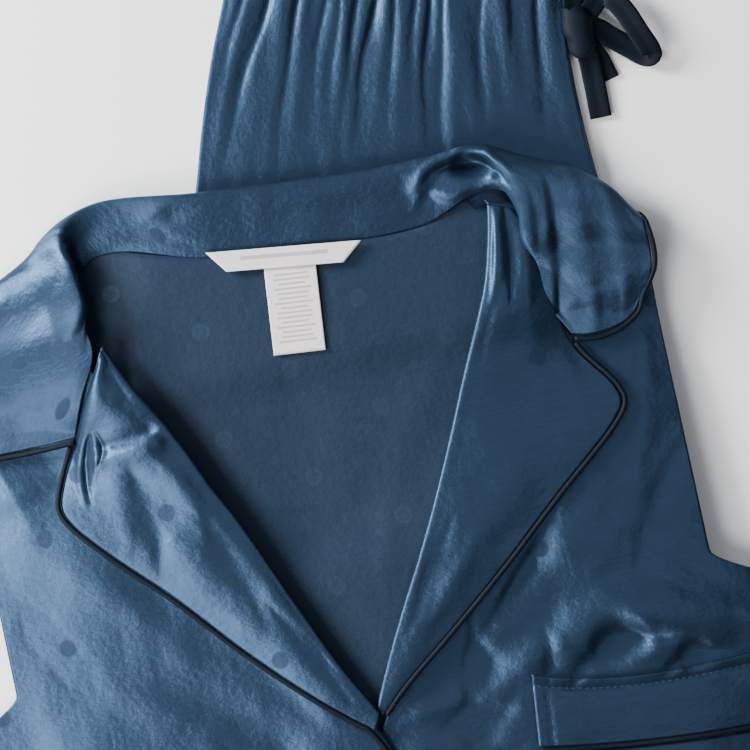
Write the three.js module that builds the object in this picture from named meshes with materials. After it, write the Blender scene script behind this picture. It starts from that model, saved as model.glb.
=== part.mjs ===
// A satin pyjama set laid out flat: a long-sleeved top with a notched, piped collar lies over
// its drawstring trousers, which are folded in half lengthways with the centre front at the right.
// Millimetres, +Z up. The origin is on the surface that the set lies on, under the middle of the
// top's back neck seam. +Y points up the picture, towards the trousers' waist.
// The top has its own frame: u across, v from the hem (negative) to the back neck seam (zero).
// It is turned on the surface by TOP_TURN. Left and right in names are the wearer's own.
import * as THREE from "three";

// Cloth
const CLOTH = 1.2; // wall of one panel
const COLLAR_CLOTH = 1.6; // wall of the collar, two plies turned and pressed
const SEAM_GAP = 0.3; // between pieces that are sewn edge to edge
const LAYER_GAP = 1.1; // between panels that lie on each other
const PIPING_RADIUS = 1.3;

// Trousers
const LEG_THICK = 2.4; // one folded leg, two plies
const LEG_STACK = 2 * LEG_THICK + SEAM_GAP; // both legs, one on the other
const WAIST_TOP = 150;
const WAISTBAND_LOW = 121;
const TROUSER_HEM = -850;
const GATHER_CREST = 1.9; // how far gathered cloth stands above the flat leg
const GATHER_DEPTH = 3.3;
const GATHER_END = 22; // the collar presses the gathers flat from here down
const TROUSER_SKIRT = 70; // width over which cloth slopes from the trousers to the surface

// Top
const TOP_TURN = THREE.MathUtils.degToRad(12);
const CHEST_HALF = 236;
const HEM_HALF = 262;
const ARMHOLE_HALF = 163;
const SHOULDER_LOW = -22;
const ARMHOLE_LOW = -176;
const UNDERARM = -226;
const BACK_LENGTH = 646;
const FRONT_LENGTH = 640;
const NECK_HALF = 90;
// The back's neckline, from the right shoulder's neck point to the left one
const NECK_LINE = [[-90, 17], [-76, 12.5], [-36, 1.2], [0, -1], [36, -5.5], [63, -5.5], [90, 3]];
const OVERLAP_LIFT = CLOTH + LAYER_GAP; // the right front lies on the left one at the closing
const COLLAR_UNDER = 3.6; // room for the collar's fall and its piping under the back
const ROLL_REACH = 55; // width over which a front rises to its lapel's roll

// Sleeves, folded behind at the armholes, with the forearms out at the sides
const SLEEVE = { startU: 68, startV: -150, angle: 27, length: 450, topHalf: 76, cuffHalf: 58, thick: 2.7 };
const CUFF_LENGTH = 62;
const SLEEVE_SKIRT = 50;

const { clamp, lerp, smoothstep } = THREE.MathUtils;

// The value at t of a table of [t, value] rows, joined smoothly
function tableValue(rows, t) {
  const down = rows[0][0] > rows[rows.length - 1][0];
  const sorted = down ? [...rows].reverse() : rows;
  const last = sorted.length - 1;
  if (t <= sorted[0][0]) return sorted[0][1];
  if (t >= sorted[last][0]) return sorted[last][1];
  const k = sorted.findIndex((row) => row[0] > t) - 1;
  const [p0, p1, p2, p3] = [k - 1, k, k + 1, k + 2].map((i) => sorted[clamp(i, 0, last)]);
  const span = p2[0] - p1[0];
  const m1 = ((p2[1] - p0[1]) / (p2[0] - p0[0])) * span;
  const m2 = ((p3[1] - p1[1]) / (p3[0] - p1[0])) * span;
  const s = (t - p1[0]) / span;
  const s2 = s * s;
  const s3 = s2 * s;
  return (2 * s3 - 3 * s2 + 1) * p1[1] + (s3 - 2 * s2 + s) * m1 + (-2 * s3 + 3 * s2) * p2[1] + (s3 - s2) * m2;
}

// A point of the top's frame on the surface
function onSurface(u, v) {
  const c = Math.cos(TOP_TURN);
  const s = Math.sin(TOP_TURN);
  return { x: u * c - v * s, y: u * s + v * c };
}

// Solids

// A closed geometry from vertex positions and triangles, turned so that its faces point out
function closedGeometry(points, triangles) {
  let volume = 0;
  for (const [a, b, c] of triangles) {
    volume += points[a].dot(new THREE.Vector3().crossVectors(points[b], points[c]));
  }
  const index = triangles.flatMap(([a, b, c]) => (volume < 0 ? [a, c, b] : [a, b, c]));
  const geometry = new THREE.BufferGeometry();
  geometry.setAttribute("position", new THREE.Float32BufferAttribute(points.flatMap((p) => [p.x, p.y, p.z]), 3));
  geometry.setIndex(index);
  geometry.computeVertexNormals();
  return geometry;
}

// A wall between two grids of points, upper[i][j] and lower[i][j]
function wallBetween(upper, lower) {
  const rows = upper.length;
  const columns = upper[0].length;
  const points = [...upper.flat(), ...lower.flat()];
  const top = (i, j) => i * columns + j;
  const under = (i, j) => rows * columns + top(i, j);
  const triangles = [];
  for (let i = 0; i < rows - 1; i++) {
    for (let j = 0; j < columns - 1; j++) {
      triangles.push([top(i, j), top(i + 1, j), top(i + 1, j + 1)], [top(i, j), top(i + 1, j + 1), top(i, j + 1)]);
      triangles.push([under(i, j), under(i + 1, j + 1), under(i + 1, j)]);
      triangles.push([under(i, j), under(i, j + 1), under(i + 1, j + 1)]);
    }
  }
  const rim = rimOf(rows, columns);
  rim.forEach(([i, j], k) => {
    const [m, n] = rim[(k + 1) % rim.length];
    triangles.push([top(i, j), top(m, n), under(m, n)], [top(i, j), under(m, n), under(i, j)]);
  });
  return closedGeometry(points, triangles);
}

// The grid places round a grid's rim, in order
function rimOf(rows, columns) {
  const rim = [];
  for (let j = 0; j < columns - 1; j++) rim.push([0, j]);
  for (let i = 0; i < rows - 1; i++) rim.push([i, columns - 1]);
  for (let j = columns - 1; j > 0; j--) rim.push([rows - 1, j]);
  for (let i = rows - 1; i > 0; i--) rim.push([i, 0]);
  return rim;
}

// A grid of points over a in 0..1 (rows, at the given stops) and b in 0..1 (columns)
function gridOf(stops, columns, pointAt) {
  return stops.map((a) => Array.from({ length: columns + 1 }, (_, j) => pointAt(a, j / columns)));
}

// Even stops from 0 to 1, drawn towards 0 by a power above 1
function stopsOf(count, power = 1) {
  return Array.from({ length: count + 1 }, (_, i) => (i / count) ** power);
}

// A cloth wall about a middle surface: each point is moved half the thickness along the normal
function clothWall(middle, thickness) {
  const rows = middle.length;
  const columns = middle[0].length;
  const moved = (side) =>
    middle.map((row, i) =>
      row.map((p, j) => {
        const alongRows = middle[Math.min(i + 1, rows - 1)][j].clone().sub(middle[Math.max(i - 1, 0)][j]);
        const alongColumns = row[Math.min(j + 1, columns - 1)].clone().sub(row[Math.max(j - 1, 0)]);
        const normal = alongRows.cross(alongColumns).normalize();
        return p.clone().addScaledVector(normal, (side * thickness) / 2);
      }),
    );
  return wallBetween(moved(1), moved(-1));
}

// A flat-bottomed solid under a grid and under the flat outline (tail) that goes on from its last
// row, from the row's end round to its start. Its rim goes down to the floor, rounded half way.
function bedUnder(upper, tail, floor, round) {
  const rows = upper.length;
  const columns = upper[0].length;
  const points = upper.flat();
  const at = (i, j) => i * columns + j;
  const triangles = [];
  for (let i = 0; i < rows - 1; i++) {
    for (let j = 0; j < columns - 1; j++) {
      triangles.push([at(i, j), at(i + 1, j), at(i + 1, j + 1)], [at(i, j), at(i + 1, j + 1), at(i, j + 1)]);
    }
  }
  const tailIndex = tail.map((p) => points.push(p) - 1);
  const level = (indices) => indices.map((n) => new THREE.Vector2(points[n].x, points[n].y));
  const pave = (indices, to) => {
    for (const face of THREE.ShapeUtils.triangulateShape(level(indices), [])) triangles.push(face.map(to));
  };
  const lastRow = upper[0].map((_, j) => at(rows - 1, j));
  const outline = [...lastRow, ...tailIndex];
  if (tail.length) pave(outline, (n) => outline[n]);
  const rim = rimOf(rows, columns).map(([i, j]) => at(i, j));
  const turn = rim.indexOf(at(rows - 1, columns - 1)) + 1;
  if (tail.length) rim.splice(turn, columns - 2, ...tailIndex);
  const middleX = points.reduce((sum, p) => sum + p.x, 0) / points.length;
  const waist = points.length;
  for (const n of rim) {
    const p = points[n];
    points.push(new THREE.Vector3(p.x + round * Math.sign(p.x - middleX), p.y, (p.z + floor) / 2));
  }
  const foot = points.length;
  for (const n of rim) points.push(new THREE.Vector3(points[n].x, points[n].y, floor));
  rim.forEach((a, k) => {
    const next = (k + 1) % rim.length;
    triangles.push([a, rim[next], waist + next], [a, waist + next, waist + k]);
    triangles.push([waist + k, waist + next, foot + next], [waist + k, foot + next, foot + k]);
  });
  pave(rim, (n) => foot + n);
  return windOutwards(points, triangles);
}

// Joins faces whose winding differs from their neighbours', then closes the geometry
function windOutwards(points, triangles) {
  const byEdge = new Map();
  const key = (a, b) => (a < b ? `${a},${b}` : `${b},${a}`);
  triangles.forEach((t, n) => {
    for (let k = 0; k < 3; k++) {
      const e = key(t[k], t[(k + 1) % 3]);
      byEdge.set(e, [...(byEdge.get(e) ?? []), n]);
    }
  });
  const done = new Set([0]);
  const todo = [0];
  while (todo.length) {
    const n = todo.pop();
    const t = triangles[n];
    for (let k = 0; k < 3; k++) {
      const [a, b] = [t[k], t[(k + 1) % 3]];
      for (const m of byEdge.get(key(a, b))) {
        if (done.has(m)) continue;
        const other = triangles[m];
        const same = other.some((p, q) => p === a && other[(q + 1) % 3] === b);
        if (same) other.reverse();
        done.add(m);
        todo.push(m);
      }
    }
  }
  return closedGeometry(points, triangles);
}

// A round cord of the given radius along a line of points, closed at its ends
function cordAlong(line, radius, sides = 6) {
  const sections = line.length - 1;
  const vertices = [];
  line.forEach((p, i) => {
    const along = line[Math.min(i + 1, sections)].clone().sub(line[Math.max(i - 1, 0)]).normalize();
    const side = new THREE.Vector3(0, 0, 1).cross(along).normalize();
    const up = along.clone().cross(side);
    for (let k = 0; k < sides; k++) {
      const turn = (2 * Math.PI * k) / sides;
      const out = side.clone().multiplyScalar(Math.cos(turn)).addScaledVector(up, Math.sin(turn));
      vertices.push(p.clone().addScaledVector(out, radius));
    }
  });
  const triangles = [];
  for (let i = 0; i < sections; i++) {
    for (let k = 0; k < sides; k++) {
      const a = i * sides + k;
      const b = i * sides + ((k + 1) % sides);
      triangles.push([a, b, b + sides], [a, b + sides, a + sides]);
    }
  }
  for (let k = 1; k < sides - 1; k++) {
    triangles.push([0, k + 1, k]);
    triangles.push([sections * sides, sections * sides + k, sections * sides + k + 1]);
  }
  return closedGeometry(vertices, triangles);
}

// A flat ribbon of the given width along points; each point's lean tips it over, in radians
function ribbonThrough(stations, width, thickness, sections) {
  const curve = new THREE.CatmullRomCurve3(stations.map(([x, y, z]) => new THREE.Vector3(x, y, z)), false, "centripetal");
  const leanAt = (t) => {
    const at = t * (stations.length - 1);
    const k = Math.min(Math.floor(at), stations.length - 2);
    return lerp(stations[k][3], stations[k + 1][3], at - k);
  };
  const middle = Array.from({ length: sections + 1 }, (_, i) => {
    const t = i / sections;
    const p = curve.getPoint(t);
    const along = curve.getTangent(t);
    const level = new THREE.Vector3(-along.y, along.x, 0).normalize();
    const lean = leanAt(t);
    const across = level.multiplyScalar(Math.cos(lean)).add(new THREE.Vector3(0, 0, Math.sin(lean)));
    return [-1, 0, 1].map((side) => p.clone().addScaledVector(across, (side * width) / 2));
  });
  return clothWall(middle, thickness);
}

// Outlines and heights

// Half-open edges of the folded trousers at height y
const LEG_EDGES = [
  { y: WAIST_TOP, left: -22, right: 122 },
  { y: WAISTBAND_LOW, left: -26, right: 127 },
  { y: 88, left: -32.5, right: 131 },
  { y: 55, left: -37, right: 138 },
  { y: 25, left: -40, right: 146 },
  { y: -60, left: -54, right: 166 },
  { y: -160, left: -74, right: 186 },
  { y: -215, left: -66, right: 178 },
  { y: -330, left: -58, right: 168 },
  { y: -560, left: -54, right: 164 },
  { y: TROUSER_HEM, left: -58, right: 168 },
];
const legLeft = (y) => tableValue(LEG_EDGES.map((row) => [row.y, row.left]), y);
const legRight = (y) => tableValue(LEG_EDGES.map((row) => [row.y, row.right]), y);

// 1 over the trousers, falling to 0 at TROUSER_SKIRT outside them
function overTrousers(x, y) {
  const inside = Math.min(x - legLeft(y), legRight(y) - x, WAIST_TOP - y, y - TROUSER_HEM);
  return smoothstep(inside + 6, -TROUSER_SKIRT, 0);
}

// Height of the surface that the top lies on: the trousers, sloping to the floor beside them
function trouserLift(u, v) {
  const { x, y } = onSurface(u, v);
  return (LEG_STACK + LAYER_GAP) * overTrousers(x, y);
}

// A sleeve's own place: t along it from its hidden start, w across it; side is 1 or -1
const sleeveAngle = THREE.MathUtils.degToRad(SLEEVE.angle);
function sleevePlace(side, t, w) {
  const along = { u: Math.sin(sleeveAngle), v: -Math.cos(sleeveAngle) };
  return {
    u: side * (SLEEVE.startU + t * along.u - w * along.v),
    v: SLEEVE.startV + t * along.v + w * along.u,
  };
}
const sleeveHalf = (t) => lerp(SLEEVE.topHalf, SLEEVE.cuffHalf, clamp(t / SLEEVE.length, 0, 1));

// 1 over a sleeve, falling to 0 at SLEEVE_SKIRT outside it
function overSleeve(side, u, v) {
  const du = side * u - SLEEVE.startU;
  const dv = v - SLEEVE.startV;
  const t = du * Math.sin(sleeveAngle) - dv * Math.cos(sleeveAngle);
  const w = du * Math.cos(sleeveAngle) + dv * Math.sin(sleeveAngle);
  const inside = Math.min(sleeveHalf(t) - Math.abs(w), t, SLEEVE.length - t);
  return smoothstep(inside + 5, -SLEEVE_SKIRT, 0);
}

// 1 over the collar's fall, which lies between the trousers and the back
function overFall(u, v) {
  const inside = Math.min(166 - Math.abs(u), v + 48);
  return smoothstep(inside, -20, 0);
}

// Middle of the back panel's wall
function backHeight(u, v) {
  const sleeves = Math.min(1, overSleeve(1, u, v) + overSleeve(-1, u, v));
  const stack = (SLEEVE.thick + 2 * LAYER_GAP) * sleeves + COLLAR_UNDER * overFall(u, v);
  return trouserLift(u, v) + stack + CLOTH / 2;
}

// Inner edges of the two fronts: under the lapel's roll, then down the closing
const RIGHT_FRONT_EDGE = [
  [12, -105], [-28, -97.5], [-51, -87], [-73, -74], [-114, -53.5], [-161, -30.5], [-198, -15], [-222, -2],
  [-240, 3], [-400, 8], [-FRONT_LENGTH, 12],
];
const LEFT_FRONT_EDGE = [
  [10, 90], [-15, 98], [-37, 90], [-63, 79], [-88, 66], [-127, 46], [-165, 26], [-199, 10],
  [-216, 1], [-240, -8], [-400, -12], [-FRONT_LENGTH, -14],
];
// How far each lapel's roll stands up, down its length
const RIGHT_ROLL_LIFT = [[10, 5], [-28, 9], [-73, 8.5], [-114, 6.5], [-161, 4], [-222, 0.8], [-300, 0]];
const LEFT_ROLL_LIFT = [[10, 3], [-37, 5], [-88, 4.5], [-127, 3.5], [-165, 2.5], [-216, 0.4], [-300, 0]];

// Soft hollows and swells of a front: centre, size across and down, height, turn in degrees
const FRONT_SWELLS = [
  { u: 112, v: -178, across: 46, down: 28, height: 1.7, turn: -10 },
  { u: 120, v: -420, across: 26, down: 120, height: 2.4, turn: 6 },
  { u: 205, v: -470, across: 22, down: 130, height: 2.0, turn: -3 },
  { u: -120, v: -300, across: 60, down: 24, height: 2.2, turn: 28 },
  { u: -90, v: -470, across: 26, down: 130, height: 2.6, turn: -5 },
  { u: -190, v: -430, across: 24, down: 130, height: 2.1, turn: 4 },
  { u: -40, v: -560, across: 18, down: 70, height: 1.6, turn: 0 },
];
function swellAt(swells, u, v) {
  return swells.reduce((sum, s) => {
    const turn = THREE.MathUtils.degToRad(s.turn);
    const du = (u - s.u) * Math.cos(turn) + (v - s.v) * Math.sin(turn);
    const dv = (v - s.v) * Math.cos(turn) - (u - s.u) * Math.sin(turn);
    return sum + s.height * Math.exp(-((du / s.across) ** 2) - (dv / s.down) ** 2);
  }, 0);
}

// Middle of a front's wall; side is -1 for the wearer's right front and 1 for the left one
function frontHeight(side, u, v) {
  const edge = tableValue(side < 0 ? RIGHT_FRONT_EDGE : LEFT_FRONT_EDGE, v);
  const lift = tableValue(side < 0 ? RIGHT_ROLL_LIFT : LEFT_ROLL_LIFT, v);
  const away = Math.max(0, side * (u - edge));
  const rise = lift * (1 - smoothstep(away, 0, ROLL_REACH));
  const onTop = side < 0 ? OVERLAP_LIFT * smoothstep(u, -52, -22) * smoothstep(-v, 150, 215) : 0;
  return backHeight(u, v) + CLOTH + LAYER_GAP + rise + onTop + swellAt(FRONT_SWELLS, u, v);
}

// Half width of the body at v: the armhole, the underarm curve and the side seam
function bodyHalf(v) {
  if (v >= ARMHOLE_LOW) return ARMHOLE_HALF;
  if (v >= UNDERARM) return lerp(ARMHOLE_HALF, CHEST_HALF, Math.sin(((ARMHOLE_LOW - v) / (ARMHOLE_LOW - UNDERARM)) * Math.PI / 2) ** 1.4);
  return lerp(CHEST_HALF, HEM_HALF, (UNDERARM - v) / (UNDERARM + FRONT_LENGTH));
}

// Shoulder line: from the neck point down to the shoulder's tip
function shoulderLine(u) {
  const out = clamp((Math.abs(u) - NECK_HALF) / (ARMHOLE_HALF - NECK_HALF), 0, 1);
  return lerp(tableValue(NECK_LINE, Math.sign(u) * NECK_HALF), SHOULDER_LOW, out);
}

// Pieces of the trousers

// Gathers under the waist: each trough's place across the leg at the waist and where it ends
const GATHERS = [
  { waist: 0.051, low: 0.02, end: 60, depth: 0.6 },
  { waist: 0.134, low: 0.055, end: 43, depth: 1.0 },
  { waist: 0.222, low: 0.196, end: 33, depth: 0.95 },
  { waist: 0.299, low: 0.282, end: 73, depth: 0.7 },
  { waist: 0.345, low: 0.328, end: 82, depth: 0.55 },
  { waist: 0.401, low: 0.356, end: 60, depth: 0.8 },
  { waist: 0.451, low: 0.39, end: 37, depth: 1.0 },
  { waist: 0.51, low: 0.487, end: 62, depth: 0.7 },
  { waist: 0.573, low: 0.548, end: 75, depth: 0.6 },
  { waist: 0.611, low: 0.586, end: 43, depth: 0.9 },
  { waist: 0.656, low: 0.628, end: 47, depth: 1.0 },
  { waist: 0.767, low: 0.739, end: 50, depth: 0.6 },
  { waist: 0.854, low: 0.826, end: 66, depth: 0.4 },
  { waist: 0.936, low: 0.9, end: 42, depth: 0.7 },
];
const GATHER_LOW = 40; // height of the `low` places

// Columns across the gathers: each trough, its two shoulders and the ridge after it
const GATHER_COLUMNS = [
  { waist: 0, low: 0, trough: 0, end: GATHER_LOW },
  ...GATHERS.flatMap((g, k) => {
    const next = GATHERS[k + 1] ?? { waist: 1, low: 1 };
    const before = GATHERS[k - 1] ?? { waist: 0, low: 0 };
    const between = (other, part, trough) => ({
      waist: lerp(g.waist, other.waist, part),
      low: lerp(g.low, other.low, part),
      trough: trough * g.depth,
      end: g.end,
    });
    return [between(before, 0.22, 0.45), between(g, 0, 1), between(next, 0.22, 0.45), between(next, 0.55, 0)];
  }),
  { waist: 1, low: 1, trough: 0, end: GATHER_LOW },
];

// A row of points across the gathers at height y; crest is their strength there
function gatheredRow(y, level, crest, depth, spare) {
  return GATHER_COLUMNS.map((column) => {
    const part = clamp((WAISTBAND_LOW - y) / (WAISTBAND_LOW - GATHER_LOW), -0.4, 1);
    const b = lerp(column.waist, column.low, Math.max(0, part));
    const x = lerp(legLeft(y) - spare, legRight(y) + spare, b);
    const fade = smoothstep(y, column.end - 14, Math.max(column.end + 12, 92));
    const round = smoothstep(Math.min(b, 1 - b), 0, 0.04);
    return new THREE.Vector3(x, y, level + crest * round - depth * column.trough * fade);
  });
}

// A folded leg; the upper one is gathered under the waist and flat from GATHER_END down
function legGeometry(floor, gathered, shiftX, shiftY) {
  const rows = gathered
    ? [WAISTBAND_LOW - SEAM_GAP, 112, 99, 84, 70, 56, 42, 30, GATHER_END]
    : [WAISTBAND_LOW - SEAM_GAP, GATHER_END];
  const upper = rows.map((y) => {
    const strength = gathered ? smoothstep(y, GATHER_END, 100) : 0;
    return gatheredRow(y, floor + LEG_THICK, GATHER_CREST * strength, GATHER_DEPTH * strength, 0);
  });
  const low = LEG_EDGES.filter((row) => row.y < GATHER_END);
  const edgePoint = (row, name) =>
    new THREE.Vector3(row[name], row.y + (row.y === TROUSER_HEM ? shiftY : 0), floor + LEG_THICK);
  const tail = [...low.map((row) => edgePoint(row, "right")), ...low.map((row) => edgePoint(row, "left")).reverse()];
  for (const p of [...upper.flat(), ...tail]) p.x += shiftX;
  return bedUnder(upper, tail, floor, LEG_THICK * 0.3);
}

function waistbandGeometry() {
  const rows = [WAIST_TOP, WAIST_TOP - 2.5, WAIST_TOP - 14, WAISTBAND_LOW + 2.5, WAISTBAND_LOW];
  const upper = rows.map((y) => {
    const atRim = y === WAIST_TOP || y === WAISTBAND_LOW ? 0.9 : 0;
    return gatheredRow(y, LEG_STACK + 1.2 - atRim, 0.8, 1.7, 1);
  });
  return bedUnder(upper, [], 0, 1);
}

// The drawstring's bow beside the centre front; each row is x, y, z and lean
const TIE_WIDTH = 9.5;
const TIE_THICK = 1.0;
const KNOT = { x: 137, y: 104, z: 6.5 };
const BOW = {
  drawstring_eyelet_front: [[123.5, 131, 8.6, 0.1], [131, 129, 8.4, -0.2], [136, 121, 7.6, -0.5], [137, 111.5, 6.8, -0.4]],
  drawstring_loop_front: [
    [141.6, 111, 7.2, 0.3], [148, 118, 8.4, 0.25], [156, 112, 8.8, 0.1], [164, 100.5, 8.6, 0], [169.5, 92.5, 7.2, 0],
    [169.9, 90.6, 5.2, 0], [167.5, 90.5, 3.2, 0], [160, 94.5, 2.6, 0.05], [151, 99.5, 3.4, 0.1], [145, 103, 4.8, 0.2],
  ],
  drawstring_loop_back: [
    [133.5, 111.5, 9.6, 0.3], [133, 121, 11.8, 0.2], [137, 138, 11.9, 0], [142.5, 152, 10.2, 0], [144.5, 157, 7.6, 0],
    [145.5, 156.5, 4.4, 0], [146, 152, 2.4, 0], [144.6, 138, 2.0, 0], [143.2, 124, 3.2, 0.2], [141.5, 116.5, 3.6, 0.3],
  ],
  drawstring_end_front: [[139, 95, 6.2, -0.2], [141.5, 88, 4.4, -0.1], [144, 78, 2.1, 0], [147.2, 62, 1.6, 0]],
  drawstring_end_back: [[146.5, 89.5, 1.2, 0.05], [148.6, 84.5, 0.8, 0.02], [151, 79.5, 0.6, 0]],
};

function knotGeometry() {
  const knot = new THREE.SphereGeometry(1, 14, 10);
  knot.scale(5.6, 7.0, 4.6);
  knot.rotateZ(THREE.MathUtils.degToRad(-20));
  return knot;
}

// Pieces of the top

const local = (u, v, z) => new THREE.Vector3(u, v, z);

function backGeometry() {
  const middle = gridOf(stopsOf(23, 1.25), 17, (a, b) => {
    const across = 2 * b - 1;
    const topU = across * ARMHOLE_HALF;
    const top = (Math.abs(topU) < NECK_HALF ? tableValue(NECK_LINE, topU) : shoulderLine(topU)) - 1.5;
    const v = lerp(top, -BACK_LENGTH + 8 * across * across, a);
    const u = across * (bodyHalf(v) - 1);
    return local(u, v, backHeight(u, v));
  });
  return clothWall(middle, CLOTH);
}

function frontGeometry(side) {
  const edge = side < 0 ? RIGHT_FRONT_EDGE : LEFT_FRONT_EDGE;
  const middle = gridOf(stopsOf(24, 1.2), 11, (a, b) => {
    const topU = side * lerp(NECK_HALF, ARMHOLE_HALF, b);
    const v = lerp(shoulderLine(topU), -FRONT_LENGTH + 5 * b, a);
    const u = lerp(tableValue(edge, v), side * bodyHalf(v), b);
    return local(u, v, frontHeight(side, u, v));
  });
  return clothWall(middle, CLOTH);
}

// Lapels: rows from the neck to the end of the roll, with the roll, the outer edge and the loft
const RIGHT_LAPEL = [
  { roll: [-92, -29], edge: [-95, -35], loft: 2.4 },
  { roll: [-83, -50], edge: [-113.5, -67.5], loft: 2.8 },
  { roll: [-76, -62], edge: [-123, -84], loft: 2.6 },
  { roll: [-66, -81], edge: [-119.5, -101], loft: 2.4 },
  { roll: [-49, -113], edge: [-84, -140], loft: 2.0 },
  { roll: [-26, -160], edge: [-50, -176.5], loft: 1.4 },
  { roll: [-11, -196], edge: [-20, -209.5], loft: 0.9 },
  { roll: [-1, -217], edge: [-3, -222], loft: 0.5 },
];
const LEFT_LAPEL = [
  { roll: [97, 0], edge: [104, -3], loft: 1.2 },
  { roll: [93, -15], edge: [107, -17], loft: 1.8 },
  { roll: [86, -36], edge: [106, -41], loft: 2.4 },
  { roll: [76, -60], edge: [123, -72.5], loft: 2.2 },
  { roll: [66, -79], edge: [138, -92], loft: 2.0 },
  { roll: [56, -99], edge: [134, -110], loft: 2.0 },
  { roll: [42, -126], edge: [97, -137], loft: 1.8 },
  { roll: [28, -152], edge: [66, -159.5], loft: 1.5 },
  { roll: [15, -178], edge: [35, -186], loft: 1.1 },
  { roll: [4.5, -201], edge: [12, -206], loft: 0.6 },
];

const planCurve = (rows, name) => new THREE.CatmullRomCurve3(rows.map((row) => local(...row[name], 0)));

function lapelPoint(side, rows, t, b) {
  const roll = planCurve(rows, "roll").getPoint(t);
  const edge = planCurve(rows, "edge").getPoint(t);
  const p = roll.lerp(edge, b);
  const at = t * (rows.length - 1);
  const k = Math.min(Math.floor(at), rows.length - 2);
  const loft = lerp(rows[k].loft, rows[k + 1].loft, at - k);
  const belly = 0.5 + loft * Math.sin(Math.PI * Math.min(1, b * 1.15 + 0.12)) ** 0.8;
  p.z = frontHeight(side, p.x, p.y) + CLOTH + LAYER_GAP + belly;
  return p;
}

function lapelGeometry(side, rows) {
  const middle = gridOf(LAPEL_STOPS, 6, (t, b) => lapelPoint(side, rows, t, b));
  const lip = middle.map((row) => {
    const inwards = row[0].clone().sub(row[1]).setZ(0).normalize();
    return [row[0].clone().addScaledVector(inwards, 1.3).setZ(row[0].z - 2.0), ...row];
  });
  return clothWall(lip, CLOTH);
}

// Piping beside a lapel's edge, on down the closing where a run is given
const LAPEL_STOPS = stopsOf(21);
function lapelPipingGeometry(side, rows, from, closing) {
  const beside = LAPEL_STOPS.filter((t) => t >= from - 1e-6).map((t) => {
    const p = lapelPoint(side, rows, t, 1);
    const ahead = lapelPoint(side, rows, Math.min(t + 0.03, 1), 1);
    const behind = lapelPoint(side, rows, Math.max(t - 0.03, 0), 1);
    const along = ahead.sub(behind).setZ(0).normalize();
    const out = new THREE.Vector3(along.y, -along.x, 0).multiplyScalar(-side);
    return p.addScaledVector(out, PIPING_RADIUS + SEAM_GAP + 0.3).add(local(0, 0, 0.6));
  });
  return cordAlong([...beside, ...closing], PIPING_RADIUS);
}

// Collar: rows round the neck from the right tip to the left one, and six columns across it.
// Heights are above trouserLift.
const COLLAR = [
  { seam: [-116, -69.5, 9.2], stand: [-124, -70, 9.4], fold: [-133, -70, 9.3], spread: [-142, -70, 9.1], turn: [-151, -69, 8.9], edge: [-157, -66, 8.7] },
  { seam: [-105.5, -50, 11.6], stand: [-117, -52, 11.2], fold: [-130, -54, 10.4], spread: [-143, -55, 9.6], turn: [-155, -56, 9.0], edge: [-163, -56, 8.8] },
  { seam: [-97, -30, 15.5], stand: [-105, -32, 16.2], fold: [-118, -35, 14.0], spread: [-134, -38, 11.5], turn: [-150, -40, 9.8], edge: [-165, -42, 8.9] },
  { seam: [-100.5, -11, 12.5], stand: [-97, -10, 16], fold: [-98, -8, 19], spread: [-115, -7, 16.5], turn: [-142, -12, 12], edge: [-165, -24, 8.8] },
  { seam: [-99, 6, 9.5], stand: [-96, 8, 14], fold: [-98, 10, 18], spread: [-116, 13, 14], turn: [-146, 4, 8.5], edge: [-160, -16, 2.2] },
  { seam: [-88, 15, 7.6], stand: [-94, 22, 11.5], fold: [-99, 28, 13], spread: [-113, 24, 8], turn: [-124, 10, 1.4], edge: [-122, -28, 1.5] },
  { seam: [-74, 15, 4.4], stand: [-78, 26, 6.6], fold: [-82, 38, 6.8], spread: [-84, 36, 2.0], turn: [-82, 12, 1.3], edge: [-80, -33, 1.5] },
  { seam: [-36, 4, 4.2], stand: [-35, 18, 4.8], fold: [-34, 33, 4.8], spread: [-34, 31.5, 1.6], turn: [-35, 2, 1.2], edge: [-38, -37, 1.5] },
  { seam: [0, 1.8, 4.2], stand: [3, 15, 4.8], fold: [8, 29.5, 4.6], spread: [8, 28, 1.5], turn: [6, 0, 1.2], edge: [2, -39, 1.5] },
  { seam: [38, -2.5, 4.2], stand: [42, 11, 5.0], fold: [46, 27, 5.4], spread: [46, 26, 1.5], turn: [44, -2, 1.2], edge: [42, -39, 1.5] },
  { seam: [68, -1.5, 4.6], stand: [71, 11, 7.4], fold: [74, 27, 10], spread: [78, 26, 3.4], turn: [76, 0, 1.2], edge: [76, -37, 1.5] },
  { seam: [91, 7, 8.2], stand: [92, 15, 12], fold: [97, 27, 15], spread: [110, 21, 6.4], turn: [109, 8, 1.4], edge: [108, -32, 1.5] },
  { seam: [104, 6, 9.5], stand: [103, 9, 14], fold: [107, 13, 18], spread: [124, 14, 14], turn: [143, 5, 6.5], edge: [142, -22, 1.6] },
  { seam: [112, -8, 11], stand: [109, -7, 15], fold: [110, -5, 18.5], spread: [128, 0, 16.5], turn: [150, -2, 11.5], edge: [162, -16, 4.8] },
  { seam: [113, -22, 11.5], stand: [109, -21, 14.5], fold: [109.5, -20, 17], spread: [126, -17, 15.5], turn: [147, -20, 12], edge: [165, -28, 9] },
  { seam: [108.5, -40, 11.4], stand: [117, -40, 12.2], fold: [127, -41, 12.5], spread: [139, -42, 11.5], turn: [152, -43, 9.8], edge: [165, -44, 8.9] },
  { seam: [115.5, -54.5, 10.2], stand: [123, -56, 10.4], fold: [133, -57, 10.2], spread: [143, -57.5, 9.6], turn: [154, -58, 9.0], edge: [163.5, -57, 8.8] },
  { seam: [124.5, -69, 9.2], stand: [131, -70.5, 9.3], fold: [138, -71, 9.2], spread: [144, -71, 9.0], turn: [150, -70.5, 8.9], edge: [157, -67, 8.7] },
];
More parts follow.
